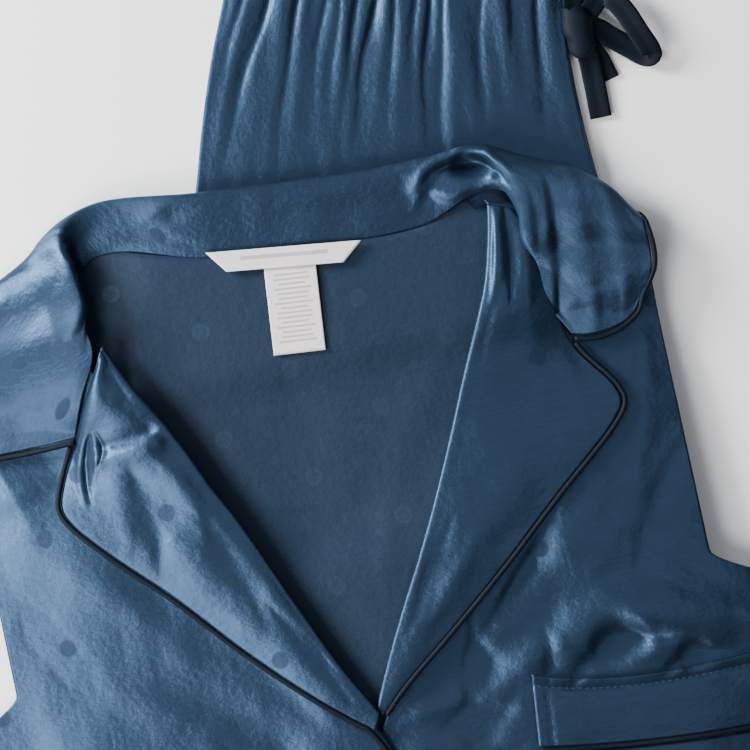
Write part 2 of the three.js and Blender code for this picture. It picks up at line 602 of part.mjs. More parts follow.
const COLLAR_COLUMNS = ["seam", "stand", "fold", "spread", "turn", "edge"];

const collarRuns = COLLAR_COLUMNS.map((name) => new THREE.CatmullRomCurve3(COLLAR.map((row) => local(...row[name]))));

// The leaves' front parts lie on the fronts: 1 there, 0 where the collar goes behind the neck
function leafOnFront(t, b) {
  const row = (COLLAR.length - 1) * Math.min(t, 1 - t);
  const reach = lerp(4.2, 3.4, smoothstep(b, 0.15, 0.5));
  return smoothstep(-row, -reach - 0.5, -reach);
}

function collarPoint(t, b) {
  const section = new THREE.CatmullRomCurve3(collarRuns.map((run) => run.getPoint(t)));
  const p = section.getPoint(b);
  p.z = Math.max(p.z, 1.05) + trouserLift(p.x, p.y);
  const side = t < 0.5 ? -1 : 1;
  const clear = frontHeight(side, p.x, p.y) + (CLOTH + COLLAR_CLOTH) / 2 + SEAM_GAP + 0.8;
  p.z = lerp(p.z, Math.max(p.z, clear + 2.2 * Math.sin(Math.PI * b)), leafOnFront(t, b));
  return p;
}

const COLLAR_STOPS = stopsOf(40);
function collarGeometry() {
  return clothWall(gridOf(COLLAR_STOPS, 11, collarPoint), COLLAR_CLOTH);
}

// Piping round the collar: down one short end, along the outer edge and up the other end
function collarPipingGeometry() {
  const clear = PIPING_RADIUS + COLLAR_CLOTH / 2 + SEAM_GAP + 0.2;
  const shortEnd = (t) => {
    const corner = collarPoint(t, 1).add(local(t < 0.5 ? -1.9 : 1.9, 0.9 - clear, 0));
    return [...[0.1, 0.35, 0.6, 0.84].map((b) => collarPoint(t, b).add(local(0, -clear, 0.2))), corner];
  };
  const outer = COLLAR_STOPS.slice(1, -1).map((t) => {
    const p = collarPoint(t, 1);
    const out = p.clone().sub(collarPoint(t, 0.9)).normalize();
    p.addScaledVector(out, PIPING_RADIUS + SEAM_GAP + 0.85);
    return p.setZ(Math.max(p.z, trouserLift(p.x, p.y) + PIPING_RADIUS + 0.1));
  });
  return cordAlong([...shortEnd(0), ...outer, ...shortEnd(1).reverse()], PIPING_RADIUS);
}

// Sleeves and cuffs

function sleeveSurface(side, t, w, height) {
  const { u, v } = sleevePlace(side, t, w);
  return local(u, v, trouserLift(u, v) + height);
}

function sleeveTubeGeometry(side, from, to, spare, thick, rows) {
  const grid = (height, inset) =>
    gridOf(stopsOf(rows), 8, (a, b) => {
      const t = lerp(from, to, a);
      const half = sleeveHalf(t) + spare - inset;
      const w = lerp(-half, half, b);
      return sleeveSurface(side, t, w, height);
    });
  return wallBetween(grid(thick, 1.2), grid(0, 0));
}

// Pocket on the wearer's left chest, turned a little against the top
const POCKET = { u: 71, v: -214, width: 108, height: 118, band: 33, turn: THREE.MathUtils.degToRad(-6) };

// A point on the pocket: across 0 to width, down 0 to height, raised above the front
function pocketPoint(across, down, raise) {
  const sag = 3.2 * Math.sin((Math.PI * across) / POCKET.width) * (1 - down / POCKET.height);
  const c = Math.cos(POCKET.turn);
  const s = Math.sin(POCKET.turn);
  const u = POCKET.u + across * c + (down + sag) * s;
  const v = POCKET.v + across * s - (down + sag) * c;
  return local(u, v, frontHeight(1, u, v) + CLOTH + 2 * SEAM_GAP + raise);
}

function pocketGeometry() {
  const corner = 14;
  const middle = gridOf(stopsOf(10), 10, (a, b) => {
    const down = lerp(POCKET.band + 2 * PIPING_RADIUS + 2 * SEAM_GAP + 0.6, POCKET.height, a);
    const fromFoot = Math.max(0, down - (POCKET.height - corner));
    const inset = corner - Math.sqrt(corner ** 2 - fromFoot ** 2 * 0.8);
    return pocketPoint(lerp(inset, POCKET.width - inset, b), down, 0.1);
  });
  return clothWall(middle, CLOTH);
}

function pocketBandGeometry() {
  const middle = gridOf(stopsOf(4), 10, (a, b) => pocketPoint(b * POCKET.width, a * POCKET.band, 0.3));
  return clothWall(middle, CLOTH);
}

function pocketPipingGeometry() {
  const down = POCKET.band + PIPING_RADIUS + SEAM_GAP + 0.2;
  const points = stopsOf(10).map((b) => pocketPoint(lerp(1.2, POCKET.width - 1.2, b), down, 1.15));
  return cordAlong(points, PIPING_RADIUS);
}

// Labels at the back neck: a plain woven band with mitred ends, over the top of a plain tag.
// u and v are the middle of the top edge.
const BAND_LABEL = { u: 0.5, v: 1.5, half: 36, height: 9.5, mitre: 9, turn: -7.25, raise: 2.0 };
const TAG_LABEL = { u: 1.6, v: -7.0, half: 12, height: 41, mitre: 0, turn: -5.4, raise: 0.8 };
const LABEL_THICK = 0.7;

function labelGeometry(label) {
  const c = Math.cos(THREE.MathUtils.degToRad(label.turn));
  const s = Math.sin(THREE.MathUtils.degToRad(label.turn));
  const middle = gridOf(stopsOf(2), 6, (a, b) => {
    const across = lerp(-1, 1, b) * (label.half - label.mitre * a);
    const down = a * label.height;
    const u = label.u + across * c + down * s;
    const v = label.v + across * s - down * c;
    return local(u, v, backHeight(u, v) + (CLOTH + LABEL_THICK) / 2 + label.raise);
  });
  return clothWall(middle, LABEL_THICK);
}

// Buttons down the closing, four holes sunk in a dished face
const BUTTON = { radius: 5.8, thick: 2.4, first: -246, step: 92, count: 4 };

function buttonGeometry() {
  const { radius, thick } = BUTTON;
  const profile = [
    [0, 0], [radius - 0.8, 0], [radius, 0.7], [radius, thick - 0.7], [radius - 0.8, thick],
    [radius - 1.6, thick], [radius - 2.2, thick - 0.6], [0, thick - 0.6],
  ];
  const geometry = new THREE.LatheGeometry(profile.map(([r, z]) => new THREE.Vector2(r, z)), 14);
  geometry.rotateX(Math.PI / 2);
  return geometry;
}

function buttonPlace(k) {
  const v = BUTTON.first - k * BUTTON.step;
  const u = tableValue(RIGHT_FRONT_EDGE, v) - 13;
  return local(u, v, frontHeight(-1, u, v) + CLOTH / 2 + 0.8);
}

// Assembly

const satin = (colour, roughness = 0.42) => new THREE.MeshStandardMaterial({ color: colour, roughness, metalness: 0 });
const FINISH = {
  satin: satin("#3c5f7d"),
  satinWrong: satin("#2f4d66", 0.6),
  trim: satin("#16242e", 0.5),
  label: satin("#d9d0d0", 0.55),
  button: satin("#22384a", 0.3),
};

const set = new THREE.Group();
const trousers = new THREE.Group();
const top = new THREE.Group();
top.rotation.z = TOP_TURN;
set.add(trousers, top);

function add(group, name, geometry, material) {
  const mesh = new THREE.Mesh(geometry, material);
  mesh.name = name;
  group.add(mesh);
  return mesh;
}

add(trousers, "leg_left", legGeometry(0, false, 1, -9), FINISH.satin);
add(trousers, "leg_right", legGeometry(LEG_THICK + SEAM_GAP, true, 0, 0), FINISH.satin);
add(trousers, "waistband", waistbandGeometry(), FINISH.satin);
add(trousers, "drawstring_knot", knotGeometry(), FINISH.trim).position.set(KNOT.x, KNOT.y, KNOT.z);
for (const [name, stations] of Object.entries(BOW)) {
  add(trousers, name, ribbonThrough(stations, TIE_WIDTH, TIE_THICK, 18), FINISH.trim);
}

add(top, "back", backGeometry(), FINISH.satinWrong);
add(top, "front_right", frontGeometry(-1), FINISH.satin);
add(top, "front_left", frontGeometry(1), FINISH.satin);
add(top, "lapel_right", lapelGeometry(-1, RIGHT_LAPEL), FINISH.satin);
add(top, "lapel_left", lapelGeometry(1, LEFT_LAPEL), FINISH.satin);
add(top, "collar", collarGeometry(), FINISH.satin);
add(top, "collar_piping", collarPipingGeometry(), FINISH.trim);
const closing = [-240, -270, -300, -350, -400, -460, -520, -580, -FRONT_LENGTH + 2].map((v) => {
  const u = tableValue(RIGHT_FRONT_EDGE, v) + PIPING_RADIUS + SEAM_GAP + 0.1;
  return local(u, v, frontHeight(-1, u, v) + 0.8);
});
add(top, "piping_right", lapelPipingGeometry(-1, RIGHT_LAPEL, 5 / 21, closing), FINISH.trim);
add(top, "piping_left", lapelPipingGeometry(1, LEFT_LAPEL, 1 / 3, []), FINISH.trim);
add(top, "pocket", pocketGeometry(), FINISH.satin);
add(top, "pocket_band", pocketBandGeometry(), FINISH.satin);
add(top, "pocket_piping", pocketPipingGeometry(), FINISH.trim);
add(top, "neck_label", labelGeometry(BAND_LABEL), FINISH.label);
add(top, "care_label", labelGeometry(TAG_LABEL), FINISH.label);

for (const [name, side] of [["right", -1], ["left", 1]]) {
  const cuffStart = SLEEVE.length - CUFF_LENGTH;
  const pipe = 2 * (PIPING_RADIUS + SEAM_GAP);
  add(top, `sleeve_${name}`, sleeveTubeGeometry(side, 0, cuffStart - pipe, 0, SLEEVE.thick, 20), FINISH.satin);
  add(top, `cuff_${name}`, sleeveTubeGeometry(side, cuffStart, SLEEVE.length, 1.5, SLEEVE.thick + 0.4, 3), FINISH.satin);
  const seam = cuffStart - PIPING_RADIUS - SEAM_GAP;
  const run = stopsOf(8).map((b) => {
    const half = sleeveHalf(seam) - 1;
    return sleeveSurface(side, seam, lerp(-half, half, b), PIPING_RADIUS + 1.0);
  });
  add(top, `cuff_piping_${name}`, cordAlong(run, PIPING_RADIUS), FINISH.trim);
}

for (let k = 0; k < BUTTON.count; k++) {
  add(top, `button_${k + 1}`, buttonGeometry(), FINISH.button).position.copy(buttonPlace(k));
}

export default set;
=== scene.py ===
"""A satin pyjama set laid flat: a notched-collar top over folded drawstring trousers.

Sizes are millimetres, and a mesh gets its metres when it is made. The top is drawn in its own
frame: u across and v from the hem (negative) up to the back neck seam (zero), turned by TOP_TURN
on the surface. Left and right in names are the wearer's own.
"""

import logging
import math
from dataclasses import dataclass, field
from enum import Enum
from typing import Iterable, Optional, Sequence

import bmesh
import bpy
import numpy as np
from mathutils import Matrix, Vector

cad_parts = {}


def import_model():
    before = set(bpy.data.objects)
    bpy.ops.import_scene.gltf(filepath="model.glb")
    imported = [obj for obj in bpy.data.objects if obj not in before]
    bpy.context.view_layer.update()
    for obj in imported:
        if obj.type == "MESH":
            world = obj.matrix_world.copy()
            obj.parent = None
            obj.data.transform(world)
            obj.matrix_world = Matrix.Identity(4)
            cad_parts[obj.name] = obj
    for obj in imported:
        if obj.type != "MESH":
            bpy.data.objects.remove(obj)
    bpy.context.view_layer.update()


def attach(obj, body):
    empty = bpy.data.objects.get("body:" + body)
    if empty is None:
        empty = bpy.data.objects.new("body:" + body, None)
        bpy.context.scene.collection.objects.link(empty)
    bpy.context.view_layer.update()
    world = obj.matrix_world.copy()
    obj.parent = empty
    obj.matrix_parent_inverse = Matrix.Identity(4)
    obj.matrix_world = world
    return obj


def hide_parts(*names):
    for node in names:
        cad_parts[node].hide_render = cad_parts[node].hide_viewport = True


logging.basicConfig(level=logging.INFO, format="%(message)s")
log = logging.getLogger("pyjamas")

Array = np.ndarray
Piece = bpy.types.Object
Material = bpy.types.Material
Tree = bpy.types.NodeTree
Socket = bpy.types.NodeSocket
MM = 0.001
UP = np.array([0.0, 0.0, 1.0])

# Cloth
CLOTH = 1.2
COLLAR_CLOTH = 1.6
SEAM_GAP = 0.3
LAYER_GAP = 1.1
PIPING_RADIUS = 1.3
CORD_RADIUS = PIPING_RADIUS - 0.1  # the piping's own, a little inside its solid
CORD_SIDES = 10
# What the eye sees of a thin satin's edge
SHELL = 0.45
TUBE_SHELL = 0.3
BAG_SHELL = 0.5
TURNED_SHELL = 0.7
COLLAR_SHELL = 0.9
LABEL_SHELL = 0.35
# Where the dots are: added to a piece's own places on the cloth
LEG_DOTS = (11.0, 9.0)
BACK_DOTS = (8.0, 105.2)
FRONT_DOTS = (97.9, 184.2)
COLLAR_DOTS = (24.0, 15.0)
BAG_DOTS = (20.0, 12.0)
BAND_DOTS = (50.0, 30.0)
SLEEVE_DOTS = (5.0, 3.0)

# Trousers
LEG_THICK = 2.4
LEG_STACK = 2 * LEG_THICK + SEAM_GAP
WAIST_TOP = 150.0
WAISTBAND_LOW = 121.0
CASING_MIDDLE = (WAIST_TOP + WAISTBAND_LOW) / 2
CASING_HALF = (WAIST_TOP - WAISTBAND_LOW) / 2
TROUSER_HEM = -850.0
GATHER_CREST = 1.9
GATHER_DEPTH = 3.3
GATHER_END = 22.0
GATHER_LOW = 40.0
TROUSER_SKIRT = 70.0

# Top
TOP_TURN = 12.0  # degrees
CHEST_HALF = 236.0
HEM_HALF = 262.0
HEM_STITCHED = 18.0
ARMHOLE_HALF = 163.0
SHOULDER_LOW = -22.0
ARMHOLE_LOW = -176.0
UNDERARM = -226.0
BACK_LENGTH = 646.0
FRONT_LENGTH = 640.0
NECK_HALF = 90.0
OVERLAP_LIFT = CLOTH + LAYER_GAP
COLLAR_UNDER = 3.6
ROLL_REACH = 55.0

# Sleeves, folded behind at the armholes
SLEEVE_START = (68.0, -150.0)
SLEEVE_TURN = 27.0  # degrees
SLEEVE_LENGTH = 450.0
SLEEVE_TOP_HALF = 76.0
SLEEVE_CUFF_HALF = 58.0
SLEEVE_THICK = 2.7
CUFF_THICK = SLEEVE_THICK + 0.4
CUFF_SPARE = 1.5
SLEEVE_SKIRT = 50.0
CUFF_LENGTH = 62.0

# The camera looks straight down, so that one side of the picture covers VIEW_WIDE of the cloth
VIEW_CENTRE = (42.3, -57.5)
VIEW_WIDE = 345.0
VIEW_HEIGHT = 1200.0
VIEW_PLANE = 12.0

# The outline of the folded trousers: y, left, right
LEG_EDGES = np.array(
    [
        (WAIST_TOP, -22, 122), (WAISTBAND_LOW, -26, 127), (88, -32.5, 131), (55, -37, 138),
        (25, -40, 146), (-60, -54, 166), (-160, -74, 186), (-215, -66, 178), (-330, -58, 168),
        (-560, -54, 164), (TROUSER_HEM, -58, 168),
    ]
)
# The back's neckline: u, v
NECK_LINE = np.array([(-90, 17), (-76, 12.5), (-36, 1.2), (0, -1), (36, -5.5), (63, -5.5), (90, 3)])
# Inner edge of each front: v, u
RIGHT_FRONT_EDGE = np.array(
    [
        (12, -105), (-28, -97.5), (-51, -87), (-73, -74), (-114, -53.5), (-161, -30.5), (-198, -15),
        (-222, -2), (-240, 3), (-400, 8), (-FRONT_LENGTH, 12),
    ]
)
LEFT_FRONT_EDGE = np.array(
    [
        (10, 90), (-15, 98), (-37, 90), (-63, 79), (-88, 66), (-127, 46), (-165, 26), (-199, 10),
        (-216, 1), (-240, -8), (-400, -12), (-FRONT_LENGTH, -14),
    ]
)
# How far each lapel's roll stands up: v, height
RIGHT_ROLL_LIFT = np.array([(10, 5), (-28, 9), (-73, 8.5), (-114, 6.5), (-161, 4), (-222, 0.8), (-300, 0)])
LEFT_ROLL_LIFT = np.array([(10, 3), (-37, 5), (-88, 4.5), (-127, 3.5), (-165, 2.5), (-216, 0.4), (-300, 0)])


class Side(Enum):
    """A side of the wearer; the value is the sign of u there."""

    RIGHT = -1
    LEFT = 1

    @property
    def word(self) -> str:
        """The side as a word, for names."""
        return self.name.lower()


class Shade(Enum):
    """Which face of the satin shows."""

    RIGHT_SIDE = "right"
    WRONG_SIDE = "wrong"


# Numbers and shapes


def heading(turn: float) -> tuple[float, float]:
    """Returns the cosine and the sine of a turn in degrees."""
    return math.cos(math.radians(turn)), math.sin(math.radians(turn))


def smooth(x: Array, low: float, high: float) -> Array:
    """Returns 0 below low, 1 above high, and a smooth step between."""
    t = np.clip((x - low) / (high - low), 0.0, 1.0)
    return t * t * (3 - 2 * t)


def bell(x: Array, half: float) -> Array:
    """Returns a bell curve about zero, 1 high and half wide on each side."""
    return np.exp(-((x / half) ** 2))


def table_value(rows: Array, at: Array) -> Array:
    """Joins a table's rows smoothly, as the CAD's own tables are joined.

    Args:
        rows: pairs of place and value, in rising or falling order of place.
        at: the places asked for.

    Returns:
        The values at those places, held constant beyond the table's ends.
    """
    ordered = rows if rows[0, 0] < rows[-1, 0] else rows[::-1]
    xs, ys = ordered[:, 0].astype(float), ordered[:, 1].astype(float)
    last = len(xs) - 1
    x = np.clip(np.asarray(at, dtype=float), xs[0], xs[-1])
    k = np.clip(np.searchsorted(xs, x, side="right") - 1, 0, last - 1)
    before, after = np.maximum(k - 1, 0), np.minimum(k + 2, last)
    span = xs[k + 1] - xs[k]
    m1 = (ys[k + 1] - ys[before]) / (xs[k + 1] - xs[before]) * span
    m2 = (ys[after] - ys[k]) / (xs[after] - xs[k]) * span
    s = (x - xs[k]) / span
    s2, s3 = s * s, s * s * s
    start = (2 * s3 - 3 * s2 + 1) * ys[k] + (s3 - 2 * s2 + s) * m1
    return start + (3 * s2 - 2 * s3) * ys[k + 1] + (s3 - s2) * m2


def spline(points: Array, at: Array) -> Array:
    """Runs a centripetal Catmull-Rom curve through points, as the CAD's curves are run.

    Args:
        points: the control points, one a row.
        at: places from 0 to 1, evenly shared between the points.

    Returns:
        One point for each place.
    """
    pts = np.asarray(points, dtype=float)
    first, last = 2 * pts[0] - pts[1], 2 * pts[-1] - pts[-2]
    line = np.vstack([first, pts, last])
    place = np.clip(np.asarray(at, dtype=float), 0, 1) * (len(pts) - 1)
    k = np.minimum(np.floor(place).astype(int), len(pts) - 2)
    w = (place - k)[:, None]
    p0, p1, p2, p3 = (line[k + i] for i in range(4))

    def knot(a: Array, b: Array) -> Array:
        """Returns the root of the distance between two rows of points."""
        return np.maximum(np.sqrt(np.linalg.norm(b - a, axis=1)), 1e-4)[:, None]

    d0, d1, d2 = knot(p0, p1), knot(p1, p2), knot(p2, p3)
    t1 = ((p1 - p0) / d0 - (p2 - p0) / (d0 + d1) + (p2 - p1) / d1) * d1
    t2 = ((p2 - p1) / d1 - (p3 - p1) / (d1 + d2) + (p3 - p2) / d2) * d1
    w2, w3 = w * w, w * w * w
    return (2 * w3 - 3 * w2 + 1) * p1 + (w3 - 2 * w2 + w) * t1 + (3 * w2 - 2 * w3) * p2 + (w3 - w2) * t2


@dataclass(frozen=True)
class Crease:
    """A soft ridge or trough drawn on a panel.

    Attributes:
        start: u, v of its first end.
        end: u, v of its other end.
        width: half width across it.
        height: height of the ridge, or negative for a trough.
        bow: how far its middle leaves the straight line, to the left of its run.
        steep: from -1 to 1, which of its two flanks is the steeper one.
    """

    start: tuple[float, float]
    end: tuple[float, float]
    width: float
    height: float
    bow: float = 0.0
    steep: float = 0.0


def creased(creases: Iterable[Crease], u: Array, v: Array) -> Array:
    """Adds up the heights of creases.

    Args:
        creases: the ridges and troughs.
        u: places across.
        v: places along.

    Returns:
        The height that they give at each place.
    """
    total = np.zeros_like(u, dtype=float)
    for c in creases:
        du, dv = c.end[0] - c.start[0], c.end[1] - c.start[1]
        length = math.hypot(du, dv)
        du, dv = du / length, dv / length
        along = ((u - c.start[0]) * du + (v - c.start[1]) * dv) / length
        across = -(u - c.start[0]) * dv + (v - c.start[1]) * du
        across = across - c.bow * 4 * along * (1 - along)
        inside = np.clip(along, 0, 1)
        beyond = (along - inside) * length
        taper = 0.35 + 0.65 * np.sin(np.pi * np.clip(along, 0.02, 0.98)) ** 0.7
        half = c.width * taper * np.where(across > 0, 1 + 0.6 * c.steep, 1 - 0.6 * c.steep)
        shape = np.exp(-((across / half) ** 2) - (beyond / (1.2 * c.width)) ** 2)
        total += c.height * taper * shape
    return total


def ripple(u: Array, v: Array, size: float, height: float, seed: int, stretch: float = 1.0) -> Array:
    """Gives cloth its slight unevenness, the same on each run.

    Args:
        u: places across.
        v: places along.
        size: the usual distance between two swells.
        height: their usual height.
        seed: the start of the random numbers.
        stretch: how much longer the swells are along v than across.

    Returns:
        Heights about zero.
    """
    rng = np.random.default_rng(seed)
    total = np.zeros_like(u, dtype=float)
    for _ in range(14):
        angle = rng.uniform(0, 2 * math.pi)
        wave = 2 * math.pi / (size * rng.uniform(0.7, 1.8))
        phase = rng.uniform(0, 2 * math.pi)
        total += np.sin(wave * (math.cos(angle) * u + math.sin(angle) * v / stretch) + phase)
    return total * height / 3.5


# The surface that each layer lies on, the same as in the CAD


def on_surface(u: Array, v: Array) -> tuple[Array, Array]:
    """Returns x and y of a place in the top's frame."""
    c, s = heading(TOP_TURN)
    return u * c - v * s, u * s + v * c


def leg_left(y: Array) -> Array:
    """Returns the folded trousers' left edge at y."""
    return table_value(LEG_EDGES[:, [0, 1]], y)


def leg_right(y: Array) -> Array:
    """Returns the folded trousers' right edge at y."""
    return table_value(LEG_EDGES[:, [0, 2]], y)


def trouser_lift(u: Array, v: Array) -> Array:
    """Returns the height of what the top lies on: the trousers, sloping to the floor beside them."""
    x, y = on_surface(u, v)
    inside = np.minimum.reduce([x - leg_left(y), leg_right(y) - x, WAIST_TOP - y, y - TROUSER_HEM])
    return (LEG_STACK + LAYER_GAP) * smooth(inside + 6, -TROUSER_SKIRT, 0)


def sleeve_half(t: Array) -> Array:
    """Returns half the width of a flattened sleeve, at t from its hidden start."""
    part = np.clip(t / SLEEVE_LENGTH, 0, 1)
    return SLEEVE_TOP_HALF + (SLEEVE_CUFF_HALF - SLEEVE_TOP_HALF) * part


def over_sleeve(side: Side, u: Array, v: Array) -> Array:
    """Returns 1 over a sleeve, falling to 0 outside it."""
    du, dv = side.value * u - SLEEVE_START[0], v - SLEEVE_START[1]
    c, s = heading(SLEEVE_TURN)
    t, w = du * s - dv * c, du * c + dv * s
    inside = np.minimum.reduce([sleeve_half(t) - np.abs(w), t, SLEEVE_LENGTH - t])
    return smooth(inside + 5, -SLEEVE_SKIRT, 0)


def back_height(u: Array, v: Array) -> Array:
    """Returns the height of the middle of the back's wall."""
    sleeves = np.minimum(1, over_sleeve(Side.LEFT, u, v) + over_sleeve(Side.RIGHT, u, v))
    fall = smooth(np.minimum(166 - np.abs(u), v + 48), -20, 0)
    stack = (SLEEVE_THICK + 2 * LAYER_GAP) * sleeves + COLLAR_UNDER * fall
    return trouser_lift(u, v) + stack + CLOTH / 2


@dataclass(frozen=True)
class Swell:
    """A broad swell of a front.

    Attributes:
        u: its middle, across.
        v: its middle, along.
        across: its half width.
        down: its half length.
        height: its height.
        turn: how far it is turned, in degrees.
    """

    u: float
    v: float
    across: float
    down: float
    height: float
    turn: float


FRONT_SWELLS = (
    Swell(112, -178, 46, 28, 1.7, -10),
    Swell(120, -420, 26, 120, 2.4, 6),
    Swell(205, -470, 22, 130, 2.0, -3),
    Swell(-120, -300, 60, 24, 2.2, 28),
    Swell(-90, -470, 26, 130, 2.6, -5),
    Swell(-190, -430, 24, 130, 2.1, 4),
    Swell(-40, -560, 18, 70, 1.6, 0),
)


def front_edge(side: Side, v: Array) -> Array:
    """Returns u of a front's inner edge."""
    return table_value(RIGHT_FRONT_EDGE if side is Side.RIGHT else LEFT_FRONT_EDGE, v)


def front_height(side: Side, u: Array, v: Array) -> Array:
    """Returns the height of the middle of a front's wall, without its creases."""
    lift = table_value(RIGHT_ROLL_LIFT if side is Side.RIGHT else LEFT_ROLL_LIFT, v)
    away = np.maximum(0, side.value * (u - front_edge(side, v)))
    rise = lift * (1 - smooth(away, 0, ROLL_REACH))
    on_top = OVERLAP_LIFT * smooth(u, -52, -22) * smooth(-v, 150, 215) if side is Side.RIGHT else 0.0
    swell = np.zeros_like(u, dtype=float)
    for s in FRONT_SWELLS:
        c, n = heading(s.turn)
        du, dv = (u - s.u) * c + (v - s.v) * n, (v - s.v) * c - (u - s.u) * n
        swell += s.height * np.exp(-((du / s.across) ** 2) - (dv / s.down) ** 2)
    return back_height(u, v) + CLOTH + LAYER_GAP + rise + on_top + swell


def body_half(v: Array) -> Array:
    """Returns half the body's width at v: the armhole, the underarm curve and the side seam."""
    curve = np.sin(np.clip((ARMHOLE_LOW - v) / (ARMHOLE_LOW - UNDERARM), 0, 1) * math.pi / 2) ** 1.4
    underarm = ARMHOLE_HALF + (CHEST_HALF - ARMHOLE_HALF) * curve
    seam = CHEST_HALF + (HEM_HALF - CHEST_HALF) * np.maximum(UNDERARM - v, 0) / (UNDERARM + FRONT_LENGTH)
    return np.where(v >= UNDERARM, underarm, seam)


def shoulder_line(u: Array) -> Array:
    """Returns v of the shoulder seam: from the neck point down to the shoulder's tip."""
    out = np.clip((np.abs(u) - NECK_HALF) / (ARMHOLE_HALF - NECK_HALF), 0, 1)
    neck = table_value(NECK_LINE, np.sign(u) * NECK_HALF)
    return neck + (SHOULDER_LOW - neck) * out


# Meshes


def stacked(*parts: Array) -> Array:
    """Returns arrays of one shape as the columns of one array."""
    return np.stack(parts, axis=-1)


def crossed(down: Array, across: Array) -> Iterable[Array]:
    """Returns how far down and how far across each place of a grid is."""
    return np.meshgrid(down, across, indexing="ij")


def make_mesh(name: str, points: Array, faces: Sequence[Sequence[int]], uv: Optional[Array] = None) -> Piece:
    """Makes an object of points in millimetres.

    Args:
        name: the piece's name.
        points: one row a point, on the picture's axes.
        faces: the indices of each face.
        uv: a pattern place in millimetres for each point.

    Returns:
        The new object, with smooth faces.
    """
    mesh = bpy.data.meshes.new(name)
    mesh.from_pydata((points * MM).tolist(), [], [list(f) for f in faces])
    if uv is not None:
        layer = mesh.uv_layers.new(name="cloth")
        corners = np.empty(len(mesh.loops), dtype=np.int32)
        mesh.loops.foreach_get("vertex_index", corners)
        layer.data.foreach_set("uv", (uv[corners] * MM).astype(np.float32).ravel())
    mesh.polygons.foreach_set("use_smooth", [True] * len(mesh.polygons))
    mesh.update()
    piece = bpy.data.objects.new(name, mesh)
    bpy.context.scene.collection.objects.link(piece)
    return piece


def grid_faces(rows: int, columns: int, closed: bool = False) -> list[tuple[int, int, int, int]]:
    """Returns the faces of a grid of points, a row after a row; closed joins its last column to its first."""
    spans = columns if closed else columns - 1
    corners = ((i * columns, j, (j + 1) % columns) for i in range(rows - 1) for j in range(spans))
    return [(row + j, row + k, row + columns + k, row + columns + j) for row, j, k in corners]


def turned(points: Array) -> Array:
    """Returns points of the top's frame (u, v, z) on the picture's axes."""
    x, y = on_surface(points[..., 0], points[..., 1])
    return stacked(x, y, points[..., 2])


def unit(vectors: Array) -> Array:
    """Returns vectors, one a row, at length 1."""
    return vectors / np.maximum(np.linalg.norm(vectors, axis=-1, keepdims=True), 1e-9)


def normals_of(grid: Array) -> Array:
    """Returns the unit normal at each point of a grid of points."""
    return unit(np.cross(np.gradient(grid, axis=0), np.gradient(grid, axis=1)))


def run_of(line: Array) -> Array:
    """Returns how far each point of a line is along it."""
    return np.concatenate([[0], np.cumsum(np.linalg.norm(np.diff(line, axis=0), axis=1))])


def face_outwards(piece: Piece, weld: float = 0.0) -> None:
    """Turns a closed piece's faces outwards, first joining points that are nearer than weld, in metres."""
    shell = bmesh.new()
    shell.from_mesh(piece.data)
    if weld:
        bmesh.ops.remove_doubles(shell, verts=shell.verts, dist=weld)
    bmesh.ops.recalc_face_normals(shell, faces=shell.faces)
    shell.to_mesh(piece.data)
    shell.free()


def run_modifiers(piece: Piece) -> None:
    """Applies all of a piece's modifiers."""
    bpy.ops.object.select_all(action="DESELECT")
    piece.select_set(True)
    bpy.context.view_layer.objects.active = piece
    for modifier in list(piece.modifiers):
        bpy.ops.object.modifier_apply(modifier=modifier.name)
    piece.select_set(False)


def cloth_piece(name: str, grid: Array, uv: Array, thick: float = SHELL, in_top: bool = True) -> Piece:
    """Makes a thin shell of cloth about a grid of middle points.

    Args:
        name: the piece's name.
        grid: middle points, rows by columns by three.
        uv: pattern places in millimetres, rows by columns by two.
        thick: the shell's thickness.
        in_top: whether the points are in the top's frame.

    Returns:
        The piece, its upper face outwards.
    """
    pts = turned(grid) if in_top else grid
    faces = grid_faces(*pts.shape[:2])
    if normals_of(pts)[..., 2].mean() <= 0:
        faces = [f[::-1] for f in faces]
    piece = make_mesh(name, pts.reshape(-1, 3), faces, uv.reshape(-1, 2))
    if sum(face.normal.z for face in piece.data.polygons) < 0:
        piece.data.flip_normals()
    wall = piece.modifiers.new("wall", "SOLIDIFY")
    wall.thickness = thick * MM
    wall.offset = 0.0
    wall.use_even_offset = False
    run_modifiers(piece)
    return piece


def tube_piece(name: str, ring: Array, uv: Array) -> Piece:
    """Makes a tube of cloth, open at both ends, walled inwards.

    Args:
        name: the piece's name.
        ring: points on the picture's axes, rows along the tube by columns round it.
        uv: pattern places in millimetres, rows by columns by two.

    Returns:
        The piece.
    """
    faces = grid_faces(*ring.shape[:2], closed=True)
    piece = make_mesh(name, ring.reshape(-1, 3), faces, uv.reshape(-1, 2))
    face_outwards(piece)
    wall = piece.modifiers.new("wall", "SOLIDIFY")
    wall.thickness = TUBE_SHELL * MM
    wall.offset = -1.0
    run_modifiers(piece)
    return piece


